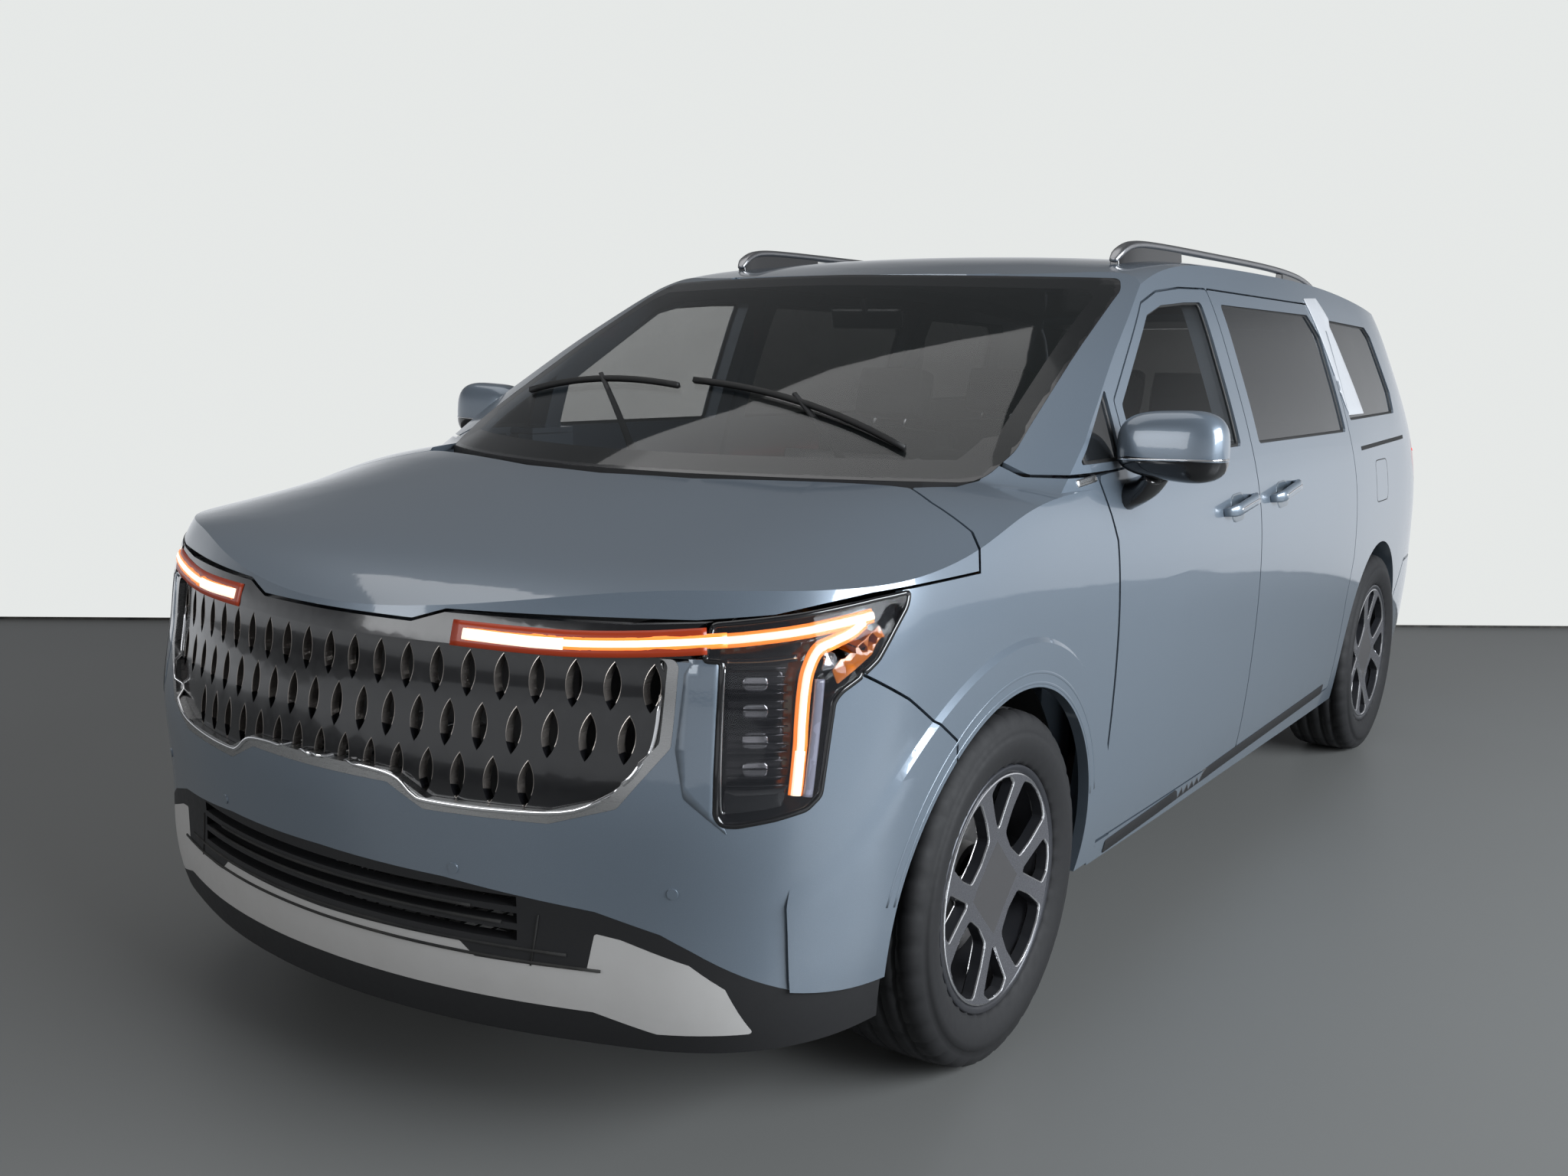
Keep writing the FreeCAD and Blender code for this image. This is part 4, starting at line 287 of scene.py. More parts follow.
# The finish of each node that shows as it was built

nodeFinish = {
    paint: "side_frame_left side_frame_right roof_panel fender_left fender_right hood front_bumper rear_bumper liftgate"
           " front_door_left front_door_right sliding_door_left sliding_door_right door_mirror_left door_mirror_right",
    blackPlastic: "front_valance cowl", silverPlastic: "skid_garnish", glossBlack: "grille lamp_bar headlamps",
    satinChrome: "grille_surround", redLens: "tail_lamps", railSilver: "roof_rails", windscreenGlass: "windscreen",
    sideGlass: "front_door_glass_left front_door_glass_right", engineCast: "engine_block", pipeSteel: "exhaust",
    privacyGlass: "liftgate_glass sliding_door_glass_left sliding_door_glass_right fixed_side_glass",
    dashPlastic: "instrument_panel steering_wheel", seatLeather: "front_seats rear_seats", linerBlack: "floor_pan",
    castIron: "knuckle_left knuckle_right", underBlack: "front_suspension rear_axle fuel_tank",
}
for material, names in nodeFinish.items():
    for name in names.split():
        nodes[name].data.materials.clear()
        nodes[name].data.materials.append(material)


# Tools for pieces that lie on the bodywork

def surfaceOf(names):
    spots, faces = [], []
    for name in names:
        mesh = nodes[name].data
        base = len(spots)
        spots += [vertex.co.copy() for vertex in mesh.vertices]
        faces += [[base + index for index in face.vertices] for face in mesh.polygons]
    return BVHTree.FromPolygons(spots, faces)


skinNames = (nodeFinish[paint].split()
             + "front_valance skid_garnish grille lamp_bar headlamps grille_surround tail_lamps".split())
skinTree = surfaceOf([name for name in nodes if name in skinNames and "mirror" not in name] + [
    "windscreen", "liftgate_glass", "fixed_side_glass"] + [name for name in nodes if "door_glass" in name])
screenTree = surfaceOf(["windscreen"])


def landing(start, ahead, tree=None):
    return (tree or skinTree).ray_cast(Vector(start), Vector(ahead))[:2]


def onFront(x, z):
    return landing((x, -4.0, z), (0, 1, 0))


def onRear(x, z):
    return landing((x, 4.0, z), (0, -1, 0))


def onTop(x, y, tree):
    return landing((x, y, 3.0), (0, 0, -1), tree)


def newPiece(name, mesh, body, material, smooth=True):
    piece = bpy.data.objects.new(name, mesh)
    scene.collection.objects.link(piece)
    for one in (material if isinstance(material, list) else [material]):
        mesh.materials.append(one)
    if smooth:
        mesh.shade_smooth()
    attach(piece, body)
    return piece


def meshFrom(name, spots, faces):
    mesh = bpy.data.meshes.new(name)
    mesh.from_pydata([tuple(spot) for spot in spots], [], faces)
    mesh.update()
    return mesh


def refined(mesh, *jobs):
    work = bmesh.new()
    work.from_mesh(mesh)
    for job in jobs:
        job(work)
    bmesh.ops.recalc_face_normals(work, faces=work.faces)
    work.to_mesh(mesh)
    work.free()
    return mesh


def shapeMesh(name, shape, place, **sizes):
    work = bmesh.new()
    shape(work, **sizes)
    mesh = bpy.data.meshes.new(name)
    work.to_mesh(mesh)
    work.free()
    mesh.transform(place)
    return mesh


def coneMesh(name, place, segments, low, high, depth):
    return shapeMesh(name, bmesh.ops.create_cone, place, cap_ends=True, segments=segments, radius1=low, radius2=high,
                     depth=depth)


def thicken(piece, thick, offset):
    wall = piece.modifiers.new("thickness", "SOLIDIFY")
    wall.thickness = thick
    wall.offset = offset


def oval(wide, high, sides, power=1.0):
    angles = [2 * math.pi * step / sides for step in range(sides)]
    return [(wide * math.copysign(abs(math.cos(angle)) ** power, math.cos(angle)),
             high * math.copysign(abs(math.sin(angle)) ** power, math.sin(angle))) for angle in angles]


def turned(degrees, axis="X"):
    return Matrix.Rotation(math.radians(degrees), 4, axis)


def softEdges(piece, width, segments=2, angle=0.6):
    bevel = piece.modifiers.new("softEdge", "BEVEL")
    bevel.width = width
    bevel.segments = segments
    bevel.limit_method = "ANGLE"
    bevel.angle_limit = angle
    return bevel


def rounded(outline, radius, steps=4):
    points = []
    count = len(outline)
    for index in range(count):
        corner = Vector(outline[index])
        before = Vector(outline[index - 1]) - corner
        after = Vector(outline[(index + 1) % count]) - corner
        cut = min(radius, before.length * 0.45, after.length * 0.45)
        start = corner + before.normalized() * cut
        end = corner + after.normalized() * cut
        for step in range(steps + 1):
            t = step / steps
            points.append(start * (1 - t) ** 2 + corner * (2 * t * (1 - t)) + end * t ** 2)
    return points


def densified(outline, step):
    points = []
    for first, second in zip(outline, outline[1:] + outline[:1]):
        first, second = Vector(first), Vector(second)
        parts = max(1, int((second - first).length / step))
        for index in range(parts):
            points.append(first.lerp(second, index / parts))
    return points


def insideOutline(point, outline):
    inside = False
    for first, second in zip(outline, outline[1:] + outline[:1]):
        if (first[1] > point[1]) != (second[1] > point[1]):
            if point[0] < (second[0] - first[0]) * (point[1] - first[1]) / (second[1] - first[1]) + first[0]:
                inside = not inside
    return inside


def gridOn(outline, project, step):
    edge = densified(outline, step)
    lows = [min(point[axis] for point in edge) for axis in (0, 1)]
    highs = [max(point[axis] for point in edge) for axis in (0, 1)]
    inner = []
    across = int((highs[0] - lows[0]) / step) + 1
    upward = int((highs[1] - lows[1]) / step) + 1
    for column in range(1, across):
        for row in range(1, upward):
            point = Vector((lows[0] + column * step, lows[1] + row * step))
            if insideOutline(point, edge) and min((point - other).length for other in edge) > step * 0.45:
                inner.append(point)
    count = len(edge)
    links = [(index, (index + 1) % count) for index in range(count)]
    flat, _, faces, *_ = delaunay_2d_cdt(edge + inner, links, [], 1, 1e-6)
    spots, normals = [], []
    last = None
    for point in flat:
        spot, normal = project(point[0], point[1])
        if spot is None:
            spot, normal = last
        last = (spot, normal)
        spots.append(spot)
        normals.append(normal)
    return count, spots, normals, [list(face) for face in faces]


def patch(name, outline, project, body, material, lift=0.002, thick=0.003, step=0.03, bevel=0.001):
    _, spots, normals, faces = gridOn(outline, project, step)
    mesh = meshFrom(name, [spot + normal * lift for spot, normal in zip(spots, normals)], faces)
    if sum(face.normal.dot(normals[face.vertices[0]]) for face in mesh.polygons) < 0:
        mesh.flip_normals()
    piece = newPiece(name, mesh, body, material)
    thicken(piece, thick, 1)
    if bevel:
        softEdges(piece, bevel)
    return piece


def bowl(name, outline, project, depth, body, material, rim=0.002, narrow=0.92, step=0.03):
    count, spots, normals, faces = gridOn(outline, project, step)
    middle = sum(spots, Vector()) / len(spots)
    back = [middle.lerp(spot, narrow) - normal * depth for spot, normal in zip(spots, normals)]
    front = [spot - normal * rim for spot, normal in zip(spots[:count], normals[:count])]
    size = len(back)
    walls = [(index, (index + 1) % count, size + (index + 1) % count, size + index) for index in range(count)]
    piece = newPiece(name, meshFrom(name, back + front, faces + walls), body, material, smooth=False)
    thicken(piece, 0.002, 0)
    return piece


def ringFaces(count, sides, closed=True):
    faces = []
    for ring in range(count if closed else count - 1):
        for side in range(sides):
            low, high = ring * sides, (ring + 1) % count * sides
            faces.append((low + side, low + (side + 1) % sides, high + (side + 1) % sides, high + side))
    return faces


def sweep(name, path, normals, section, body, material, closed=False, taper=None):
    spots = []
    count = len(path)
    sides = len(section)
    for index, spot in enumerate(path):
        before = path[index - 1] if index or closed else path[0]
        after = path[(index + 1) % count] if index < count - 1 or closed else path[-1]
        along = (after - before).normalized()
        normal = (normals[index] - along * normals[index].dot(along)).normalized()
        across = along.cross(normal)
        scale = taper(index / (count - 1)) if taper else 1
        for width, height in section:
            spots.append(spot + across * width * scale + normal * height * scale)
    faces = ringFaces(count, sides, closed)
    if not closed:
        faces += [tuple(reversed(range(sides))), tuple((count - 1) * sides + side for side in range(sides))]
    return newPiece(name, refined(meshFrom(name, spots, faces)), body, material)


def flatSection(width, height):
    w, h = width / 2, height
    r = min(w, h) * 0.3
    return [(-w, -0.002), (-w, h - r), (-w + r, h), (w - r, h), (w, h - r), (w, -0.002)]


def smoothPath(points, steps=6):
    path = []
    count = len(points)
    for index in range(count - 1):
        p0 = Vector(points[max(index - 1, 0)])
        p1, p2 = Vector(points[index]), Vector(points[index + 1])
        p3 = Vector(points[min(index + 2, count - 1)])
        for step in range(steps):
            t = step / steps
            path.append(0.5 * ((2 * p1) + (p2 - p0) * t + (2 * p0 - 5 * p1 + 4 * p2 - p3) * t ** 2
                               + (3 * p1 - p0 - 3 * p2 + p3) * t ** 3))
    path.append(Vector(points[-1]))
    return path


def strip(name, points, project, section, body, material, steps=6, lift=0.0):
    path, normals = [], []
    for point in smoothPath(points, steps):
        spot, normal = project(point[0], point[1])
        if spot is not None:
            path.append(spot + normal * lift)
            normals.append(normal)
    return sweep(name, path, normals, section, body, material)


def turnedMesh(profile, segments):
    spots = []
    for segment in range(segments):
        angle = 2 * math.pi * segment / segments
        spots += [Vector((out, radius * math.sin(angle), -radius * math.cos(angle))) for out, radius in profile]
    return spots, ringFaces(segments, len(profile))


def facing(side, degrees):
    angle = math.radians(degrees)
    ahead = Vector((-math.sin(angle) * side, math.cos(angle), 0))
    lateral = Vector((math.cos(angle), math.sin(angle) * side, 0))

    def project(across, z):
        start = lateral * across - ahead * 6
        return landing((start.x, start.y, z), ahead)

    def flatten(spot):
        return (spot[0] * side * lateral.x + spot[1] * lateral.y, spot[2])

    return project, flatten


def onSkin(points, side, degrees, steps=6):
    project, flatten = facing(side, degrees)
    path, normals = [], []
    for point in smoothPath([Vector(one) for one in points], steps):
        spot, normal = project(*flatten(point))
        if spot is not None:
            path.append(spot)
            normals.append(normal)
    return path, normals


def band(name, points, side, degrees, section, body, material, lift=0.0, steps=6):
    path, normals = onSkin(points, side, degrees, steps)
    path = [spot + normal * lift for spot, normal in zip(path, normals)]
    return sweep(name, path, normals, section, body, material)


def panel(name, points, side, degrees, body, material, corner=0.004, **options):
    project, flatten = facing(side, degrees)
    outline = rounded([Vector(flatten(point)) for point in points], corner, 3)
    return patch(name, outline, project, body, material, **options)


def facesOf(name, label, keep):
    source = nodes[name].data
    kept = [face for face in source.polygons if keep(face)]
    used = sorted({index for face in kept for index in face.vertices})
    order = {index: place for place, index in enumerate(used)}
    spots = [source.vertices[index].co.copy() for index in used]
    return meshFrom(label, spots, [[order[index] for index in face.vertices] for face in kept])


def openEdge(mesh):
    counts = {}
    for face in mesh.polygons:
        loop = list(face.vertices)
        for a, b in zip(loop, loop[1:] + loop[:1]):
            counts[(a, b)] = counts.get((a, b), 0) + 1
    following = {a: b for a, b in counts if (b, a) not in counts}
    loops = []
    while following:
        start, after = following.popitem()
        loop = [start]
        while after != start and after in following:
            loop.append(after)
            after = following.pop(after)
        loops.append([mesh.vertices[index].co.copy() for index in loop])
    return loops


def evenPath(path, step, closed=False):
    points = path + [path[0]] if closed else path
    lengths = [0.0]
    for first, second in zip(points, points[1:]):
        lengths.append(lengths[-1] + (second - first).length)
    count = max(2, int(lengths[-1] / step))
    result, place = [], 0
    for index in range(count if closed else count + 1):
        want = lengths[-1] * index / count
        while place < len(points) - 2 and lengths[place + 1] < want:
            place += 1
        run = lengths[place + 1] - lengths[place]
        result.append(points[place].lerp(points[place + 1], (want - lengths[place]) / run if run else 0))
    return result


def calmNormals(mesh, reach, least=0.90):
    tree = KDTree(len(mesh.polygons))
    for face in mesh.polygons:
        tree.insert(face.center, face.index)
    tree.balance()
    around = [[] for _ in mesh.vertices]
    for face in mesh.polygons:
        for index in face.vertices:
            around[index].append(face)
    corners = [Vector((0, 0, 1))] * len(mesh.loops)
    near = {}
    for face in mesh.polygons:
        for loop in face.loop_indices:
            index = mesh.loops[loop].vertex_index
            if index not in near:
                spot = mesh.vertices[index].co
                near[index] = [(mesh.polygons[other], 1 - away / reach)
                               for _, other, away in tree.find_range(spot, reach)]
                near[index] += [(other, 0.4) for other in around[index]]
            total = Vector()
            for other, weight in near[index]:
                if other.normal.dot(face.normal) > least:
                    total += other.normal * (other.area ** 0.5 * weight)
            corners[loop] = total.normalized() if total.length > 0 else face.normal
    mesh.normals_split_custom_set([tuple(corner) for corner in corners])


def cutBy(shape, cutter):
    source = shape.copy()
    first = bpy.data.objects.new("cutSource", source)
    second = bpy.data.objects.new("cutTool", cutter)
    for one in (first, second):
        scene.collection.objects.link(one)
    tool = first.modifiers.new("cut", "BOOLEAN")
    tool.object = second
    tool.operation = "DIFFERENCE"
    tool.solver = "EXACT"
    bpy.context.view_layer.update()
    shape = bpy.data.meshes.new_from_object(first.evaluated_get(bpy.context.evaluated_depsgraph_get()))
    for one in (first, second):
        bpy.data.objects.remove(one)
    return shape


print("tools ready")


# Tyres, rims and brake discs

tyreSettings = {"segments": 180, "blockStep": 5, "sipeDrop": 0.0045}
halfTyre = [
    (0.0180, 0.3700), (0.0195, 0.3620), (0.0275, 0.3620), (0.0290, 0.3698), (0.0570, 0.3690), (0.0585, 0.3612),
    (0.0665, 0.3610), (0.0680, 0.3682), (0.0900, 0.3650), (0.0990, 0.3600), (0.1060, 0.3510), (0.1105, 0.3400),
    (0.1120, 0.3270), (0.1150, 0.3260), (0.1170, 0.3120), (0.1168, 0.3000), (0.1138, 0.2860), (0.1090, 0.2730),
    (0.1050, 0.2650), (0.101, 0.2596), (0.094, 0.2572),
]
tyreProfile = [(-out, radius) for out, radius in reversed(halfTyre)] + halfTyre


def tyreMesh(name, settings):
    spots, faces = turnedMesh(tyreProfile, settings["segments"])
    sides = len(tyreProfile)
    for segment in range(settings["segments"]):
        shoulder = segment % settings["blockStep"] == 0
        middle = segment % (2 * settings["blockStep"]) == 3
        for side, (out, radius) in enumerate(tyreProfile):
            drop = 0
            if shoulder and 0.0675 < abs(out) < 0.107:
                drop = settings["sipeDrop"]
            if middle and 0.017 < abs(out) < 0.058 and radius > 0.365:
                drop = settings["sipeDrop"] * 0.7
            if drop:
                spot = spots[segment * sides + side]
                spot *= 1 - drop / radius
                spot.x = out
    return meshFrom(name, spots, faces)


rimSettings = {"barrel": 0.2400, "faceOut": 0.0890, "dish": 0.013, "deep": 0.030}


def polar(radius, degrees, side=0.0):
    angle = math.radians(degrees)
    return Vector((radius * math.cos(angle) - side * math.sin(angle),
                   radius * math.sin(angle) + side * math.cos(angle)))


halfLarge = [(0.096, 0.0), (0.104, 0.050), (0.152, 0.066), (0.214, 0.074), (0.2275, 0.042)]
halfSmall = [(0.130, 0.004), (0.212, 0.048), (0.2290, 0.030)]


def windowOutlines():
    outlines = []
    for quarter in range(4):
        turn = 45 + 90 * quarter
        large = [polar(radius, turn, -side) for radius, side in halfLarge[1:]] + [polar(0.2330, turn)]
        large += [polar(radius, turn, side) for radius, side in reversed(halfLarge)]
        outlines.append(rounded(large, 0.010, 3))
        turn = 90 * quarter
        small = [polar(radius, turn, -side) for radius, side in halfSmall] + [polar(0.2330, turn)]
        small += [polar(radius, turn, side) for radius, side in reversed(halfSmall)]
        outlines.append(rounded(small, 0.005, 3))
    return outlines


def rimFace(settings):
    outer = [polar(settings["barrel"], index * 4) for index in range(90)]
    windows = [densified(outline, 0.012) for outline in windowOutlines()]
    plate = densified([polar(0.100, 90 * quarter) for quarter in range(4)], 0.012)
    points, links = list(outer), [(index, (index + 1) % 90) for index in range(90)]
    for outline in windows + [plate]:
        base = len(points)
        points += outline
        links += [(base + index, base + (index + 1) % len(outline)) for index in range(len(outline))]
    flat, _, faces, *_ = delaunay_2d_cdt(points, links, [], 1, 1e-6)
    kept = []
    for face in faces:
        middle = sum((flat[index] for index in face), Vector((0, 0))) / len(face)
        if not any(insideOutline(middle, outline) for outline in windows):
            kept.append((face, insideOutline(middle, plate)))
    return flat, kept


def rimMesh(name, settings):
    flat, kept = rimFace(settings)
    count = len(flat)
    faces, marks = [], []
    levels = [settings["faceOut"] + settings["dish"] * (point.length / settings["barrel"]) ** 2 for point in flat]
    spots = [(level - deep, point.x, point.y) for deep in (0, settings["deep"]) for level, point in zip(levels, flat)]
    edges = {}
    for face, inPlate in kept:
        faces.append(tuple(face))
        marks.append(1 if inPlate else 0)
        faces.append(tuple(count + index for index in reversed(face)))
        marks.append(2)
        for a, b in zip(face, face[1:] + face[:1]):
            edges[(a, b)] = edges.get((a, b), 0) + 1
    for a, b in edges:
        if (b, a) not in edges:
            faces.append((b, a, count + a, count + b))
            marks.append(2)
    mesh = meshFrom(name, spots, faces)
    for polygon, mark in zip(mesh.polygons, marks):
        polygon.material_index = mark
    return mesh


barrelProfile = [
    (0.1010, 0.2560), (0.1030, 0.2520), (0.1010, 0.2460), (0.0980, 0.2400), (0.0600, 0.2350), (-0.0300, 0.2250),
    (-0.1020, 0.2400), (-0.1020, 0.2560), (-0.0950, 0.2575), (-0.0300, 0.2330), (0.0600, 0.2440), (0.0960, 0.2575),
]
discProfile = [
    (0.0300, 0.060), (0.0300, 0.078), (0.0060, 0.082), (0.0060, 0.160), (-0.0010, 0.1605), (-0.0010, 0.150),
    (-0.0120, 0.150), (-0.0120, 0.1605), (-0.0190, 0.160), (-0.0190, 0.082), (0.0100, 0.070), (0.0100, 0.060),
]
wheelPlaces = {
    "front_left": (0.870, -1.6425, 1), "front_right": (-0.870, -1.6425, -1),
    "rear_left": (0.870, 1.4475, 1), "rear_right": (-0.870, 1.4475, -1),
}


def setMesh(mesh, spot, side):
    for vertex in mesh.vertices:
        co = vertex.co
        vertex.co = Vector((spot[0] + side * co.x, spot[1] + co.y, 0.37 + co.z))
    if side < 0:
        mesh.flip_normals()
    mesh.update()
    return mesh


def makeWheel(place, spot):
    def wheelPiece(name, mesh, material, **options):
        return newPiece(name + "_" + place, setMesh(mesh, spot, spot[2]), "wheel_" + place, material, **options)

    tyre = wheelPiece("tyreTread", tyreMesh("tyreTread_" + place, tyreSettings), tyreRubber)
    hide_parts("tyre_" + place)
    face = wheelPiece("wheelSpokes", rimMesh("wheelSpokes_" + place, rimSettings),
                      [wheelFace, wheelPlate, wheelDark, wheelEdge],
                      smooth=False)
    softEdges(face, 0.0036, 2, 0.5).material = 3
    wheelPiece("wheelBarrel", meshFrom("wheelBarrel_" + place, *turnedMesh(barrelProfile, 96)), wheelDark)
    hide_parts("rim_" + place)
    wheelPiece("brakeDisc", meshFrom("brakeDisc_" + place, *turnedMesh(discProfile, 72)), discSteel, smooth=False)


for place, spot in wheelPlaces.items():
    makeWheel(place, spot)
print("wheels built")


# Headlamps: open bowl, clear lens, folded light guide, reflector cells and amber corner

lampOutline = [
    (0.745, -2.350, 0.9315), (0.772, -2.335, 0.9310), (0.776, -2.348, 0.835), (0.782, -2.362, 0.733),
    (0.786, -2.368, 0.671), (0.796, -2.362, 0.657), (0.816, -2.347, 0.656), (0.864, -2.301, 0.667),
    (0.898, -2.259, 0.680), (0.911, -2.237, 0.702), (0.914, -2.217, 0.813), (0.916, -2.209, 0.860),
    (0.922, -2.197, 0.876), (0.938, -2.162, 0.897), (0.951, -2.123, 0.925), (0.958, -2.080, 0.975),
    (0.960, -2.045, 1.010), (0.958, -2.034, 1.033), (0.933, -2.107, 1.027), (0.901, -2.177, 1.017),
    (0.861, -2.234, 1.007), (0.798, -2.293, 0.997), (0.745, -2.327, 0.990),
]
lampFill = [
    (0.722, -2.37, 0.934), (0.7725, -2.345, 0.934), (0.7765, -2.352, 0.835), (0.7825, -2.365, 0.733),
    (0.7870, -2.370, 0.671), (0.8000, -2.365, 0.656), (0.805, -2.36, 0.640), (0.740, -2.40, 0.700),
    (0.716, -2.39, 0.78),
]
lampShape = {
    "depth": 0.055, "guideWide": 0.013, "guideHigh": 0.006, "deep": 0.026,
    "cells": 4, "cellLow": 0.728, "cellStep": 0.0485, "fins": 15, "finLow": 0.722, "finStep": 0.0142,
}
barPath = [
    (0.330, -2.493, 0.9475), (0.450, -2.463, 0.9465), (0.544, -2.431, 0.9475), (0.653, -2.386, 0.9545),
    (0.774, -2.324, 0.9670), (0.825, -2.285, 0.9740), (0.868, -2.243, 0.9810), (0.900, -2.200, 0.9890),
    (0.925, -2.155, 0.9960), (0.939, -2.120, 1.0010),
]
legPath = [
    (0.933, -2.140, 0.9920), (0.924, -2.167, 0.9750), (0.907, -2.198, 0.9620), (0.893, -2.223, 0.9500),
    (0.886, -2.240, 0.9200), (0.884, -2.249, 0.8850), (0.884, -2.256, 0.8300), (0.885, -2.261, 0.7800),
    (0.886, -2.273, 0.7040),
]
guidePath = [(0.899, -2.225, 0.900), (0.9005, -2.234, 0.840), (0.9005, -2.246, 0.760), (0.9000, -2.256, 0.700)]
amberOutline = [
    (0.911, -2.207, 0.915), (0.930, -2.160, 0.950), (0.947, -2.112, 0.984), (0.951, -2.108, 0.965),
    (0.946, -2.133, 0.935), (0.918, -2.200, 0.889),
]


def ribbon(width, height):
    return [(-width / 2, -height), (-width / 2, 0), (-width * 0.3, height * 0.3), (width * 0.3, height * 0.3),
            (width / 2, 0), (width / 2, -height)]


def tile(left, right, low, high):
    return [(*left, low), (*right, low), (*right, high), (*left, high)]


def makeLampInside(tag, side):
    deep = lampShape["deep"]
    for index in range(lampShape["cells"]):
        z = lampShape["cellLow"] + index * lampShape["cellStep"]
        panel("lampCell_%s_%d" % (tag, index), tile((0.790, -2.35), (0.868, -2.28), z, z + 0.041), side, 45, "body",
              smokedChrome, corner=0.008, lift=-deep - 0.012, thick=0.010, step=0.012, bevel=0.003)
        panel("lampLensCell_%s_%d" % (tag, index), tile((0.812, -2.33), (0.848, -2.30), z + 0.006, z + 0.035), side, 45,
              "body", crystal, corner=0.016, lift=-deep, thick=0.006, step=0.008, bevel=0.0025)
    for index in range(lampShape["fins"]):
        z = lampShape["finLow"] + index * lampShape["finStep"]
        fin = [(0.786, -2.35, z), (0.830, -2.315, z), (0.871, -2.275, z)]
        band("lampFin_%s_%d" % (tag, index), fin, side, 45, flatSection(0.0022, 0.008), "body", smokedChrome,
             0.006 - deep, 2)
    shelf = [(0.790, -2.36, 0.672), (0.872, -2.29, 0.684), (0.874, -2.28, 0.716), (0.790, -2.35, 0.716)]
    panel("lampShelf_" + tag, shelf, side, 45, "body", glossBlack, lift=-0.030, thick=0.016, bevel=0.002)
    edge = [(0.7825, -2.345, 0.925), (0.786, -2.355, 0.800), (0.792, -2.362, 0.690), (0.800, -2.36, 0.678)]
    band("lampEdge_" + tag, edge, side, 30, flatSection(0.0035, 0.004), "body", chrome, -0.006)
    fold = [(0.786, -2.34, 0.930), (0.830, -2.30, 0.932), (0.872, -2.255, 0.938)]
    band("lampBrow_" + tag, fold, side, 45, flatSection(0.012, 0.010), "body", smokedChrome, -0.016)
    band("lampBrowLine_" + tag, fold, side, 45, flatSection(0.0018, 0.003), "body", warmTrim, -0.008)


def lampProfile(side):
    project, flatten = facing(side, 45)
    return project, rounded([Vector(flatten(point)) for point in lampOutline], 0.008, 3)


def makeHeadlamp(tag, side):
    project, outline = lampProfile(side)
    lamp = bowl("lampBowl_" + tag, outline, project, lampShape["depth"], "body", glossBlack, step=0.02)
    patch("lampLens_" + tag, outline, project, "body", clearLens, lift=-0.0015, thick=0.0025, step=0.015, bevel=0.0008)
    path, normals = zip(*[project(point.x, point.y) for point in densified(outline, 0.006)])
    sweep("lampRim_" + tag, path, normals, [(-0.0045, -0.012), (-0.0045, 0.0012), (0.0045, 0.0012), (0.0045, -0.012)],
          "body", glossBlack, closed=True)
    makeLampInside(tag, side)
    wide, high = lampShape["guideWide"], lampShape["guideHigh"]
    for label, path in (("Bar", barPath[3:]), ("Leg", legPath)):
        band("day%sHalo_%s" % (label, tag), path, side, 45, ribbon(wide + 0.012, high * 0.5), "body", haloGlow, -0.0065)
        band("day%s_%s" % (label, tag), path, side, 45, ribbon(wide, high), "body", warmGlow, -0.0035)
    band("dayLegFoot_" + tag, legPath[-2:], side, 45, ribbon(wide * 1.35, high), "body", warmGlow, -0.0030)
    band("sideGuide_" + tag, guidePath, side, 45, ribbon(0.017, 0.008), "body", paleGuide, -0.004)
    panel("amberCorner_" + tag, amberOutline, side, 60, "body", amberLens, lift=-0.007, thick=0.003, step=0.012)
    jewel = [(0.897, -2.222, 0.914), (0.910, -2.200, 0.918), (0.908, -2.198, 0.944), (0.898, -2.212, 0.944)]
    panel("lampJewel_" + tag, jewel, side, 55, "body", crystal, lift=-0.008, thick=0.006, step=0.006, bevel=0.002)
    return lamp


def makeLampBar(tag, side):
    wide = lampShape["guideWide"]
    outer = barPath[:5]
    thick = [(0.322, -2.49, 0.9475), (0.450, -2.46, 0.9445), (0.512, -2.44, 0.9450)]
    for label, path, section, glow, lift in (
            ("Glow", [(0.300, -2.50, 0.948)] + outer[1:4] + [(0.744, -2.34, 0.964)], ribbon(0.046, 0.003), dimGlow,
             0.0008),
            ("Halo", outer, ribbon(wide + 0.012, 0.003), haloGlow, 0.0014),
            ("Guide", outer, ribbon(wide, 0.004), warmGlow, 0.0020),
            ("Thick", thick, ribbon(wide * 1.55, 0.004), warmGlow, 0.0024)):
        band("bar%s_%s" % (label, tag), path, side, 15, section, "body", glow, lift)


sidesOfCar = (("left", 1), ("right", -1))
for tag, side in sidesOfCar:
    makeHeadlamp(tag, side)
    makeLampBar(tag, side)
    panel("bumperFill_" + tag, lampFill, side, 25, "body", paint, lift=-0.0012, thick=0.0018, step=0.02, bevel=0)
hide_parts("headlamps")
print("lamps built")


# Openings for the lamps in the bumper and the fenders

def lampTool(side):
    project, outline = lampProfile(side)
    angle = math.radians(45)
    ahead = Vector((-math.sin(angle) * side, math.cos(angle), 0))
    lateral = Vector((math.cos(angle), math.sin(angle) * side, 0))
    spots = []
    for reach in (-0.25, 0.14):
        for point in outline:
            flat = lateral * point.x
            depth = (project(point.x, point.y)[0] - flat).dot(ahead)
            spots.append(Vector((flat.x, flat.y, point.y)) + ahead * (depth + reach))
    count = len(outline)
    faces = [tuple(range(count)), tuple(range(count, 2 * count))]
    faces += [(index, (index + 1) % count, count + (index + 1) % count, count + index) for index in range(count)]
    return refined(meshFrom("lampTool", spots, faces), lambda work: bmesh.ops.triangulate(work, faces=work.faces))


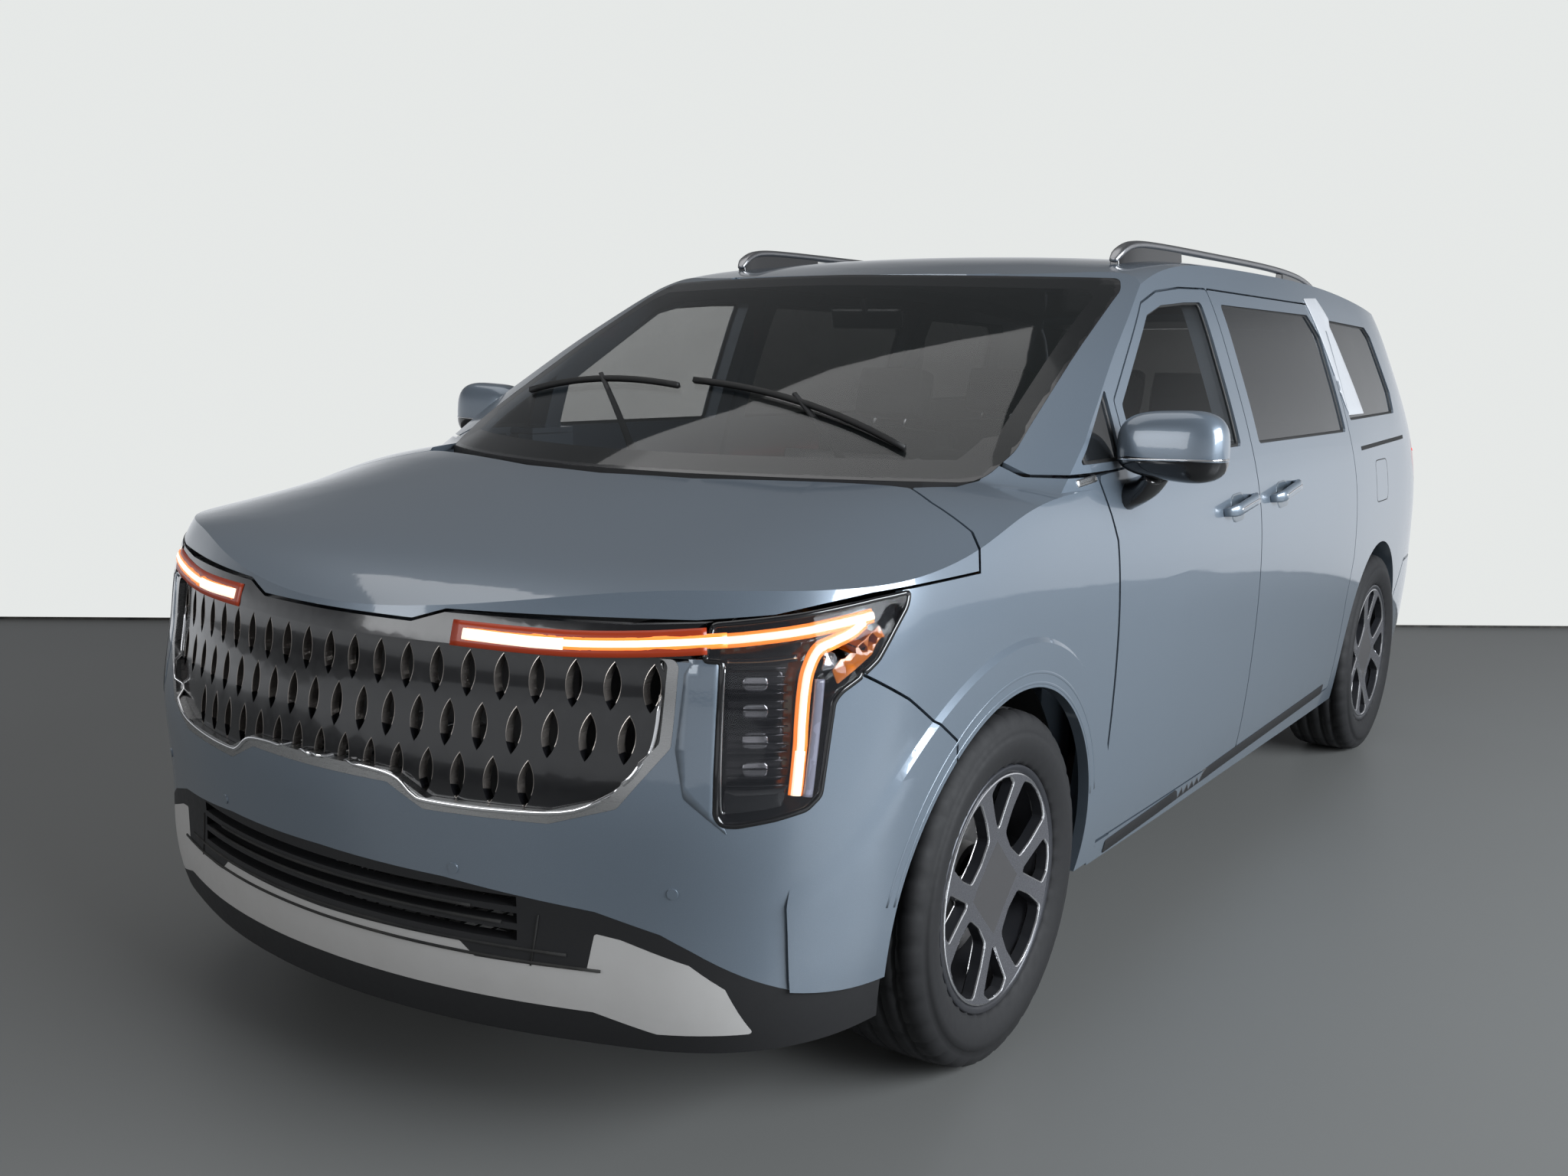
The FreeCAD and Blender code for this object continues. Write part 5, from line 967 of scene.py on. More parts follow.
for name, sides in (("front_bumper", (1, -1)), ("fender_left", (1,)), ("fender_right", (-1,))):
    mesh = nodes[name].data
    for side in sides:
        mesh = cutBy(mesh, lampTool(side))
    mesh.materials.clear()
    piece = newPiece(name + "_opened", mesh, "body", paint)
    calmNormals(mesh, 0.045, 0.8)
    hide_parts(name)
print("lamp openings cut")


# Grille: bright slit edges, lower trim, bars and ribs of the intake, parking sensors

def inSlit(face):
    if abs(face.normal.x) < 0.55 or face.center.y > -2.2:
        return False
    if abs(face.center.x) > 0.685 or face.center.z > 0.915 or face.area > 0.003:
        return False
    return (face.center.z - 0.66) % 0.0855 > 0.018


edges = newPiece("grilleEdges", facesOf("grille", "grilleEdges", inSlit), "body", slitSilver, smooth=False)
thicken(edges, 0.0012, 1)
trimPath = [
    (0.672, -2.371, 0.925), (0.674, -2.385, 0.820), (0.666, -2.405, 0.762), (0.640, -2.430, 0.718),
    (0.562, -2.470, 0.664),
    (0.430, -2.508, 0.650), (0.285, -2.545, 0.648), (0.250, -2.552, 0.656), (0.206, -2.559, 0.683),
    (0.110, -2.560, 0.690), (0.000, -2.560, 0.690),
]
intake = {"rows": 5, "low": 0.365, "high": 0.475, "half": 0.60, "pitch": 0.034}
sensorRows = {"across": (0.33, 0.72), "height": 0.53}


def makeIntake(settings):
    low, high = settings["low"], settings["high"]
    for row in range(settings["rows"]):
        z = low + (high - low) * (row + 0.5) / settings["rows"]
        half = settings["half"] - 0.06 * row
        points = [(-half + 2 * half * step / 12, z) for step in range(13)]
        strip("intakeBar_%d" % row, points, onFront, flatSection(0.005, 0.004), "body", linerBlack, 2, -0.001)
    for column in range(-14, 15):
        x = column * settings["pitch"]
        points = [(x, low + 0.005), (x + 0.014, high - 0.01)]
        strip("intakeRib_%d" % (column + 17), points, onFront, flatSection(0.003, 0.003), "body", linerBlack, 2, -0.001)


for tag, side in sidesOfCar:
    band("grilleTrim_" + tag, trimPath, side, 0, flatSection(0.008, 0.004), "body", chrome, -0.001, 5)
makeIntake(intake)
for index, x in enumerate(sensorRows["across"]):
    for side in (-1, 1):
        spot, normal = onFront(x * side, sensorRows["height"])
        place = Matrix.Translation(spot + normal * 0.0006) @ normal.to_track_quat("Z", "Y").to_matrix().to_4x4()
        name = "parkSensor_%d_%d" % (index, side)
        newPiece(name, coneMesh(name, place, 28, 0.0105, 0.0098, 0.003), "body", paint, smooth=False)
print("grille finished")


# Side trim, seals, handles, mirrors and rails

def yOf(share):
    return -1.6425 + 3.09 * share if share < 1 else 1.4475 + 1.13 * (share - 1)


def sideBand(name, points, side, section, body, material, **options):
    return band(name, [(0, y, z) for y, z in points], side, 90, section, body, material, **options)


def sidePanel(name, points, side, body, material, **options):
    return panel(name, [(0, y, z) for y, z in points], side, 90, body, material, **options)


sideShapes = {
    "sillBand": [(-1.04, 0.272), (-0.20, 0.296), (0.86, 0.318), (0.86, 0.352), (-0.20, 0.330), (-1.04, 0.306)],
    "beltFront": [(-1.30, 1.176), (-1.22, 1.183), (-1.14, 1.190)],
    "garnish": [(0.935, 1.655), (1.105, 1.662), (1.160, 1.600), (1.325, 1.262), (1.075, 1.262), (1.045, 1.300),
                (0.960, 1.560)],
    "slot": [(1.150, 1.140), (1.500, 1.146), (1.900, 1.152), (1.905, 1.166), (1.500, 1.160), (1.150, 1.154)],
    "fuel": [(1.335, 0.945), (1.530, 0.945), (1.530, 1.095), (1.335, 1.095)],
}


def makeSeals(name, body, side):
    mesh = facesOf(name, "sealSource", lambda face: face.normal.x * side > 0.4 and face.center.x * side > 0)
    edges = sorted(openEdge(mesh), key=len, reverse=True)
    paths = [evenPath(loop, 0.014, closed=True) for loop in edges if len(loop) >= 8]
    for index, path in enumerate(paths):
        sweep("seal_%s_%d_%d" % (name, index, side), path, [Vector((side * 0.94, 0, 0.34))] * len(path),
              ribbon(0.015, 0.006), body, rubber, closed=True)
    return paths


def lowerRun(path, side):
    middle = (min(spot.z for spot in path) + max(spot.z for spot in path)) / 2
    spots = []
    for index, spot in enumerate(path):
        along = (path[(index + 1) % len(path)] - path[index - 1]).normalized()
        if spot.z < middle and abs(along.y) > 0.85:
            spots.append(spot + Vector((0.003 * side, 0, -0.013)))
    return sorted(spots, key=lambda spot: spot.y)


def archPath(centre, radius, low, high, steps=22):
    points = []
    for index in range(steps + 1):
        angle = math.radians(low + (high - low) * index / steps)
        points.append((centre + radius * math.cos(angle), 0.37 + radius * math.sin(angle)))
    return points


def makeHandle(tag, side, body, y, z, slope):
    run = 0.235
    points = [(0, y - run / 2, z), (0, y, z + slope * run / 2), (0, y + run / 2, z + slope * run)]
    cup = [(y - 0.055, z - 0.034), (y + 0.060, z - 0.030), (y + 0.060, z + 0.046), (y - 0.055, z + 0.042)]
    # The handle recess is a flat patch of darker paint, not a hollow: painted shade
    sidePanel("handleCup_%s_%s" % (body, tag), cup, side, body, handleCupPaintedShade, corner=0.03, lift=-0.0005, thick=0.0012,
              step=0.012, bevel=0.0005)
    path, normals = onSkin(points, side, 90, 8)
    raised = []
    for index, (spot, normal) in enumerate(zip(path, normals)):
        t = index / (len(path) - 1)
        raised.append(spot + normal * 0.030 * min(1, 5.5 * t, 5.5 * (1 - t)) ** 0.6)
    sweep("doorHandle_%s_%s" % (body, tag), raised, normals, oval(0.0165, 0.0085, 14, 0.8), body, paint,
          taper=lambda t: 0.55 + 0.45 * min(1, 6 * t + 0.2, 6 * (1 - t) + 0.2))
    sweep("handleLine_%s_%s" % (body, tag),
          [spot + normal * 0.0085 for spot, normal in zip(raised[3:-3], normals[3:-3])],
          normals[3:-3], ribbon(0.0045, 0.0015), body, chrome)


def makeFlap(outline):
    path, normals = zip(*[facing(1, 90)[0](*point) for point in densified(rounded(outline, 0.03), 0.02)])
    path = [spot + normal * 0.0001 for spot, normal in zip(path, normals)]
    sweep("flapGap", path, normals, ribbon(0.0035, 0.0006), "body", linerBlack, closed=True)


def makeSide(tag, side):
    door = "front_door_" + tag
    loops = {"Door": (makeSeals("front_door_glass_" + tag, door, side)[0], door),
             "Sliding": (makeSeals("sliding_door_glass_" + tag, "body", side)[0], "body")}
    makeSeals("fixed_side_glass", "body", side)
    sideBand("beltFront_" + tag, sideShapes["beltFront"], side, ribbon(0.017, 0.005), "body", satinChrome)
    for label, (path, body) in loops.items():
        run = lowerRun(path, side)
        sweep("belt%s_%s" % (label, tag), run, [Vector((side * 0.97, 0, 0.2))] * len(run), flatSection(0.017, 0.004),
              body, satinChrome)
    for name, label, material, corner, lift, thick, step in (
            ("pillarGarnish", "garnish", garnishSilver, 0.008, 0.0, 0.0035, 0.03),
            ("railSlot", "slot", linerBlack, 0.004, -0.0002, 0.0015, 0.02),
            ("sillBand", "sillBand", blackPlastic, 0.008, 0.0002, 0.0015, 0.04)):
        if label == "sillBand" and side > 0:
            makeFlap(sideShapes["fuel"])
        sidePanel("%s_%s" % (name, tag), sideShapes[label], side, "body", material, corner=corner, lift=lift,
                  thick=thick, step=step)
    for index, radius in enumerate((0.430, 0.452)):
        sideBand("archLine_%d_%s" % (index, tag), archPath(-1.6425, radius, 14, 168), side, ribbon(0.006, 0.0012),
                 "body", paint, lift=0.0003, steps=2)
    makeHandle(tag, side, door, -0.285, 1.045, 0.10)
    makeHandle(tag, side, "body", 0.135, 1.052, 0.12)


for tag, side in sidesOfCar:
    makeSide(tag, side)
print("sides trimmed")


# Door mirrors: shell in two tones over a short arm, with the glass facing back

mirrorShape = {"middle": (1.0660, -1.050, 1.243), "half": (0.124, 0.064, 0.088), "power": 0.62}


def powered(value):
    return math.copysign(abs(value) ** mirrorShape["power"], value)


def mirrorMesh(tag, side):
    rings, sides = 26, 44
    middle, half = mirrorShape["middle"], mirrorShape["half"]
    spots = []
    for ring in range(rings + 1):
        up = math.pi * (ring / rings - 0.5)
        for step in range(sides):
            around = 2 * math.pi * step / sides
            x = powered(math.cos(up)) * powered(math.cos(around))
            y = min(powered(math.cos(up)) * powered(math.sin(around)), 0.55)
            z = powered(math.sin(up)) * (1.0 if up > 0 else 0.78)  # flatter below
            spot = (x, y * (1 - 0.10 * z), z * (1.0 + 0.16 * x) - 0.10 * x * max(z, 0) + 0.03)
            spots.append([middle[axis] + half[axis] * spot[axis] for axis in range(3)])
            spots[-1][0] *= side
    mesh = meshFrom("mirrorShell_" + tag, spots, ringFaces(rings + 1, sides, closed=False))
    return refined(mesh, lambda work: bmesh.ops.remove_doubles(work, verts=work.verts, dist=0.0005))


def makeMirror(tag, side):
    door = "front_door_" + tag
    middle, half, parting = Vector(mirrorShape["middle"]), mirrorShape["half"], mirrorShape["middle"][2] - 0.018
    mesh = mirrorMesh(tag, side)
    shell = newPiece("mirrorShell_" + tag, mesh, door, [paint, glossBlack])
    for face in mesh.polygons:
        if face.center.z < parting or face.center.y > middle.y + 0.030:
            face.material_index = 1
    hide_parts("door_mirror_" + tag)
    line = []
    for step in range(25):
        around = math.radians(150 + 215 * step / 24)
        x, y = powered(math.cos(around)), powered(math.sin(around))
        line.append(Vector(((middle.x + (half[0] + 0.0005) * x) * side, middle.y + (half[1] + 0.0005) * min(y, 0.55),
                            parting + 0.004 * x)))
    centre = Vector((middle.x * side, middle.y, middle.z))
    sweep("mirrorLine_" + tag, line, [(spot - centre).normalized() for spot in line], ribbon(0.005, 0.003), door,
          chrome)
    root, normal = landing((2.0 * side, -1.02, 1.135), (-side, 0, 0))
    arm = [root - normal * 0.012, root.lerp(centre, 0.40) + Vector((0, 0, -0.020)),
           centre + Vector((-0.03 * side, 0.004, -0.052))]
    path = smoothPath(arm, 6)
    sweep("mirrorArm_" + tag, path, [Vector((0, -0.3, 1))] * len(path), oval(0.066, 0.034, 16), door, glossBlack,
          taper=lambda t: 1.0 - 0.25 * t)
    pane = [Vector(point) for point in ((-0.095, -0.062), (0.088, -0.070), (0.103, 0.045), (0.080, 0.062),
                                        (-0.085, 0.056))]
    ring = [Vector(((middle.x + point.x) * side, middle.y + half[1] * 0.55 + 0.0015, middle.z + point.y))
            for point in rounded(pane, 0.02, 4)]
    glass = meshFrom("mirrorGlass_" + tag, ring, [tuple(range(len(ring)))])
    piece = newPiece("mirrorGlass_" + tag, glass, door, chrome, smooth=False)
    piece.modifiers.new("thickness", "SOLIDIFY").thickness = 0.002


for tag, side in sidesOfCar:
    makeMirror(tag, side)
print("mirrors built")


# Roof rails: bright bar on dark feet

railPath = [(0.628, -0.385, 1.708), (0.634, -0.345, 1.737), (0.640, -0.270, 1.757), (0.643, -0.10, 1.7630),
            (0.645, 0.30, 1.7635),
            (0.645, 0.90, 1.7615), (0.643, 1.25, 1.750), (0.638, 1.46, 1.728), (0.632, 1.585, 1.700)]


railFeet = ((-0.38, 0.12), (1.06, 1.57))


def makeRail(tag, side):
    path = smoothPath([(x * side, y, z) for x, y, z in railPath], 8)
    rail = sweep("roofRail_" + tag, path, [Vector((0.1 * side, 0, 1))] * len(path), oval(0.0175, 0.0105, 18, 0.7),
                 "body", railSilver, taper=lambda t: min(1, 0.6 + 5 * t, 0.6 + 5 * (1 - t)))
    for index, (low, high) in enumerate(railFeet):
        spots = []
        rows = [spot for spot in path if low <= spot.y <= high]
        for spot in rows:
            roof = onTop(spot.x, spot.y, roofTree)[0]
            base, top = (roof.z if roof else spot.z - 0.06) - 0.004, spot.z - 0.004
            spots += [(spot.x + wide, spot.y, level)
                      for wide, level in ((-0.014, base), (-0.011, top), (0.011, top), (0.014, base))]
        faces = ringFaces(len(rows), 4, closed=False)
        faces += [(3, 2, 1, 0), tuple(len(spots) - 4 + step for step in range(4))]
        name = "railFoot_%s_%d" % (tag, index)
        softEdges(newPiece(name, meshFrom(name, spots, faces), "body", glossBlack, smooth=False), 0.003)
    return rail


roofTree = surfaceOf(["roof_panel", "side_frame_left", "side_frame_right"])
rails = [makeRail(tag, side) for tag, side in sidesOfCar]
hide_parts("roof_rails")
print("rails built")


# Tail: lamps with light blades, blank plate, wiper and reflectors

tailShape = {"bladeLevels": (0.995, 1.030, 1.065, 1.100), "lift": 0.0006, "plate": (0.26, 0.820, 0.930)}


def rearPatch(name, points, body, material, corner=0.006, **options):
    return patch(name, rounded([Vector(point) for point in points], corner, 3), onRear, body, material, **options)


def framed(half, low, high):
    return [(-half, low), (half, low), (half, high), (-half, high)]


def makeTail(settings):
    for tag, side in sidesOfCar:
        for index, z in enumerate(settings["bladeLevels"]):
            points = [(0.865 * side, z), (0.80 * side, z + 0.002), (0.70 * side, z + 0.003)]
            strip("tailBlade_%d_%s" % (index, tag), points, onRear, ribbon(0.012, 0.003), "body", redGlow, 6,
                  settings["lift"])
        sideBand("tailSide_" + tag, [(2.140, 1.100), (2.230, 1.090), (2.300, 1.080)], side, ribbon(0.010, 0.003),
                 "body", redGlow, lift=settings["lift"])
        reflector = [(0.60 * side, 0.452), (0.78 * side, 0.456), (0.78 * side, 0.482), (0.60 * side, 0.478)]
        rearPatch("rearReflector_" + tag, reflector, "body", redLens, lift=0.0, thick=0.004)
        trim = [(0.50 * side, 0.300), (0.72 * side, 0.305), (0.72 * side, 0.335), (0.50 * side, 0.330)]
        rearPatch("exhaustTrim_" + tag, trim, "body", satinChrome, lift=0.0, thick=0.003)
    strip("tailBridge", [(-0.62, 1.085), (-0.30, 1.090), (0.0, 1.092), (0.30, 1.090), (0.62, 1.085)], onRear,
          ribbon(0.018, 0.004), "liftgate", redGlow, 6, 0.0008)
    rearPatch("plateRecess", framed(0.29, 0.800, 0.955), "liftgate", blackPlastic, corner=0.02, lift=0.0, thick=0.003)
    rearPatch("rearPlate", framed(*settings["plate"]), "liftgate", plateWhite, corner=0.01, lift=0.004, thick=0.002)
    rearPatch("gateHandle", framed(0.12, 0.972, 0.995), "liftgate", glossBlack, lift=0.001, thick=0.004)
    spot, normal = onRear(0.0, 1.170)
    place = Matrix.Translation(spot + normal * 0.012) @ normal.to_track_quat("Z", "Y").to_matrix().to_4x4()
    newPiece("wiperHub", coneMesh("wiperHub", place, 32, 0.024, 0.017, 0.030), "liftgate", blackPlastic, smooth=False)
    arm = [(0.0, 1.175), (0.10, 1.190), (0.22, 1.205), (0.33, 1.215)]
    strip("rearWiperArm", arm, onRear, [(-0.009, 0), (-0.009, 0.010), (0.009, 0.010), (0.009, 0)], "liftgate",
          blackPlastic, 6, 0.014)
    strip("rearWiperBlade", [(0.10, 1.200), (0.25, 1.214), (0.42, 1.222)], onRear,
          [(-0.007, 0), (-0.004, 0.012), (0.004, 0.012), (0.007, 0)], "liftgate", rubber, 6, 0.002)


makeTail(tailShape)


# Wipers at the foot of the windscreen, and the dark edge of the glass

wiperBlade = [(-0.006, -0.003), (-0.010, 0.006), (-0.002, 0.014), (0.004, 0.008), (0.003, -0.003)]
wipers = {  # both ends of each blade and the hub of its arm
    "left": ((0.62, -1.475), (-0.02, -1.395), (0.52, -1.50)),
    "right": ((-0.05, -1.420), (-0.66, -1.300), (-0.10, -1.51)),
}


def makeWiper(tag, start, end, hub):
    path, normals = [], []
    for step in range(15):
        t = step / 14
        spot, normal = onTop(*Vector(start).lerp(Vector(end), t), screenTree)
        if spot is not None:
            path.append(spot + normal * (0.004 + 0.004 * math.sin(math.pi * t)))
            normals.append(normal)
    sweep("wiperBlade_" + tag, path, normals, wiperBlade, "body", rubber)
    middle, foot = path[len(path) // 2], Vector((*hub, 1.150))
    arm = smoothPath([foot, foot.lerp(middle, 0.5) + Vector((0, -0.004, 0.022)), middle + Vector((0, 0, 0.016))], 6)
    sweep("wiperArm_" + tag, arm, [Vector((0, -0.3, 1))] * len(arm), flatSection(0.018, 0.008), "body", blackPlastic,
          taper=lambda t: 1.1 - 0.5 * t)


for tag, spots in wipers.items():
    makeWiper(tag, *spots)
fritShape = {"wide": 0.055, "lift": 0.0006}


def makeFrit(settings):
    loop = max(openEdge(facesOf("windscreen", "screenFront", lambda face: face.normal.z > 0.25)), key=len)
    path = evenPath(loop, 0.03, closed=True)
    middle = sum(path, Vector()) / len(path)
    spots = []
    count = len(path)
    for index, spot in enumerate(path):
        inward = (middle - spot).normalized()
        after = (path[(index + 1) % count] - path[index - 1]).normalized()
        inward = (inward - after * inward.dot(after)).normalized()
        wide = settings["wide"] * (1.5 if spot.z > 1.60 or spot.z < 1.25 else 1.0)
        for point in (spot, spot + inward * wide):
            near, normal, *_ = screenTree.find_nearest(point)
            spots.append(near + (normal if normal.z > 0 else -normal) * settings["lift"])
    faces = [(2 * index, 2 * ((index + 1) % count), 2 * ((index + 1) % count) + 1, 2 * index + 1)
             for index in range(count)]
    newPiece("screenFrit", meshFrom("screenFrit", spots, faces), "body", glossBlack)


makeFrit(fritShape)
print("tail, wipers and screen edge built")


# Seats: crowned cushions with seams over a plain frame

def cushionMesh(name, half, crown, seams, power=0.35):
    work = bmesh.new()
    bmesh.ops.create_cube(work, size=2.0)
    bmesh.ops.subdivide_edges(work, edges=work.edges[:], cuts=15, use_grid_fill=True)
    for vertex in work.verts:
        x, y, z = vertex.co
        ball = vertex.co.normalized() * max(abs(x), abs(y), abs(z))
        soft = vertex.co.lerp(ball, power * 0.55)
        dome = crown * (1 - min(1, x * x)) ** 0.5 * (1 - min(1, y * y)) ** 0.5
        if abs(z) > 0.9:
            soft.z += math.copysign(dome / half[2], z) * (1 if z > 0 else 0.2)
        for axis, place, wide, deep in seams:
            gap = abs((x, y)[axis]) - place
            if abs(gap) < wide and z > 0.5:
                soft.z -= deep / half[2] * (1 - abs(gap) / wide)
        vertex.co = Vector((soft.x * half[0], soft.y * half[1], soft.z * half[2]))
    mesh = bpy.data.meshes.new(name)
    work.to_mesh(mesh)
    work.free()
    return mesh


seatShape = {"wide": 0.52, "deep": 0.52, "thick": 0.12, "tall": 0.64, "rise": 0.36, "lean": 16.0, "floor": 0.307}


def placeCushion(name, half, crown, seams, middle, turn):
    mesh = cushionMesh(name, half, crown, seams)
    mesh.transform(Matrix.Translation(middle) @ turn)
    piece = newPiece(name, mesh, "body", seatLeather)
    return piece


def makeSeat(tag, x, front, narrow=1.0):
    s = seatShape
    wide, deep, thick, tall = s["wide"] * narrow, s["deep"], s["thick"], s["tall"]
    top = s["floor"] + s["rise"]
    lean = turned(-s["lean"])
    upright = lean @ turned(90)
    base = Vector((x, front + deep - thick, top - thick * 0.5))
    up, behind = lean @ Vector((0, 0, 1)), lean @ Vector((0, 1, 0)) * thick * 0.5
    cushion = placeCushion("seatCushion_" + tag, (wide * 0.5, deep * 0.5, thick * 0.5), 0.018,
                           ((0, 0.58, 0.09, 0.016), (1, 0.0, 0.07, 0.010)), (x, front + deep * 0.5, top - thick * 0.5),
                           turned(4))
    placeCushion("seatBack_" + tag, (wide * 0.49, tall * 0.49, thick * 0.48), 0.015,
                 ((0, 0.55, 0.09, 0.015), (1, 0.35, 0.06, 0.008)), base + up * tall * 0.5 + behind, upright)
    placeCushion("headRest_" + tag, (wide * 0.25, 0.085, 0.045), 0.008, ((1, 0.0, 0.08, 0.004),),
                 base + up * (tall + 0.105) + behind, upright)
    for index, move in enumerate((-0.06, 0.06)):
        foot = base + up * (tall - 0.03) + behind + Vector((move, 0, 0))
        sweep("headPost_%s_%d" % (tag, index), [foot, foot + up * 0.05, foot + up * 0.09], [Vector((0, -1, 0))] * 3,
              oval(0.006, 0.006, 8), "body", chrome)
    high = s["rise"] - thick
    mesh = shapeMesh("seatBase_" + tag, bmesh.ops.create_cube, Matrix.Diagonal((wide * 0.78, deep * 0.66, high, 1)),
                     size=1.0)
    for vertex in mesh.vertices:
        if vertex.co.z > 0:
            vertex.co.x *= 1.12
            vertex.co.y *= 1.15
    mesh.transform(Matrix.Translation((x, front + deep * 0.5, s["floor"] + high * 0.5)))
    softEdges(newPiece("seatBase_" + tag, mesh, "body", dashPlastic, smooth=False), 0.02, 3)
    return cushion


frontRow, middleRow, lastRow = yOf(0.375), yOf(0.640), yOf(0.930)
cushions = [makeSeat(tag, x, row, narrow) for tag, x, row, narrow in (
    ("frontLeft", 0.375, frontRow, 1.0), ("frontRight", -0.375, frontRow, 1.0), ("middleLeft", 0.375, middleRow, 1.0),
    ("middleRight", -0.375, middleRow, 1.0), ("lastLeft", 0.268, lastRow, 0.98), ("lastRight", -0.268, lastRow, 0.98))]
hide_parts("front_seats")
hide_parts("rear_seats")
print("seats built")


# Brake calipers

caliper = {"angles": range(-26, 27, 4), "radii": (0.116, 0.176), "across": (-0.034, 0.024), "lean": -28}


def makeCaliper(place, spot, settings):
    side = spot[2]
    spots = [(out * side, radius * math.cos(math.radians(angle)), radius * math.sin(math.radians(angle)))
             for angle in settings["angles"] for radius in settings["radii"] for out in settings["across"]]
    faces = [(low + a, low + b, low + 4 + b, low + 4 + a)
             for low in range(0, len(spots) - 4, 4) for a, b in ((0, 1), (1, 3), (3, 2), (2, 0))]
    faces += [(low, low + 1, low + 3, low + 2) for low in (0, len(spots) - 4)]
    mesh = refined(meshFrom("brakeCaliper_" + place, spots, faces))
    mesh.transform(Matrix.Translation((spot[0] - 0.004 * side, spot[1], 0.37)) @ turned(settings["lean"]))
    carrier = "knuckle_" + place.split("_")[1] if place.startswith("front") else "body"
    softEdges(newPiece(mesh.name, mesh, carrier, castIron, smooth=False), 0.005, 3)


for place, spot in wheelPlaces.items():
    makeCaliper(place, spot, caliper)
print("running gear dressed")


# Driver's place: dials, screen, vents, centre mirror and pedals

cabinShape = {"dials": (0.46, 0.29), "vents": (-0.66, -0.14, 0.16, 0.66), "pedals": (0.42, 0.31)}


def blockPiece(name, middle, size, material, bevel, degrees=0.0):
    place = Matrix.Translation(middle) @ turned(degrees) @ Matrix.Diagonal((*size, 1))
    piece = newPiece(name, shapeMesh(name, bmesh.ops.create_cube, place, size=1.0), "body", material, smooth=False)
    softEdges(piece, bevel, 3)


def makeCabin(settings):
    dash, vents = yOf(0.262), yOf(0.275)
    for index, x in enumerate(settings["dials"]):
        mesh = coneMesh("dial_%d" % index, Matrix.Translation((x, dash + 0.004, 1.120)) @ turned(80), 40, 0.052, 0.050,
                        0.012)
        newPiece(mesh.name, mesh, "body", glossBlack, smooth=False)
    blockPiece("dashScreen", (0.05, dash + 0.012, 1.125), (0.40, 0.018, 0.105), glossBlack, 0.006, -12)
    for index, x in enumerate(settings["vents"]):
        for fin in range(4):
            blockPiece("ventFin_%d_%d" % (index, fin), (x, vents + 0.003, 1.035 + fin * 0.011), (0.105, 0.010, 0.003),
                       satinChrome if fin == 3 else dashPlastic, 0.001)
    blockPiece("centreMirror", (0.0, -0.63, 1.545), (0.235, 0.022, 0.062), glossBlack, 0.010, 12)
    stem = smoothPath([(0.0, -0.66, 1.600), (0.0, -0.65, 1.575), (0.0, -0.635, 1.555)], 6)
    sweep("centreMirrorStem", stem, [Vector((0, 0, 1))] * len(stem), oval(0.008, 0.008, 12), "body", dashPlastic)
    for index, x in enumerate(settings["pedals"]):
        blockPiece("pedal_%d" % index, (x, -1.13, 0.445), (0.055, 0.014, 0.085), rubber, 0.004, -30)


makeCabin(cabinShape)
print("cabin dressed")


# Floor, light and background

studio = {"floorShade": (0.150, 0.152, 0.148), "wallShade": (0.79, 0.81, 0.80, 1), "dull": 0.42, "skirting": 0.014,
          "wallFoot": ((-5.34, -0.38, 0), (1.27, 4.87, 0))}


def stagePiece(name, spots, face, material):
    mesh = meshFrom(name, spots, [face])
    mesh.materials.append(material)
    piece = bpy.data.objects.new(name, mesh)
    scene.collection.objects.link(piece)
    return piece


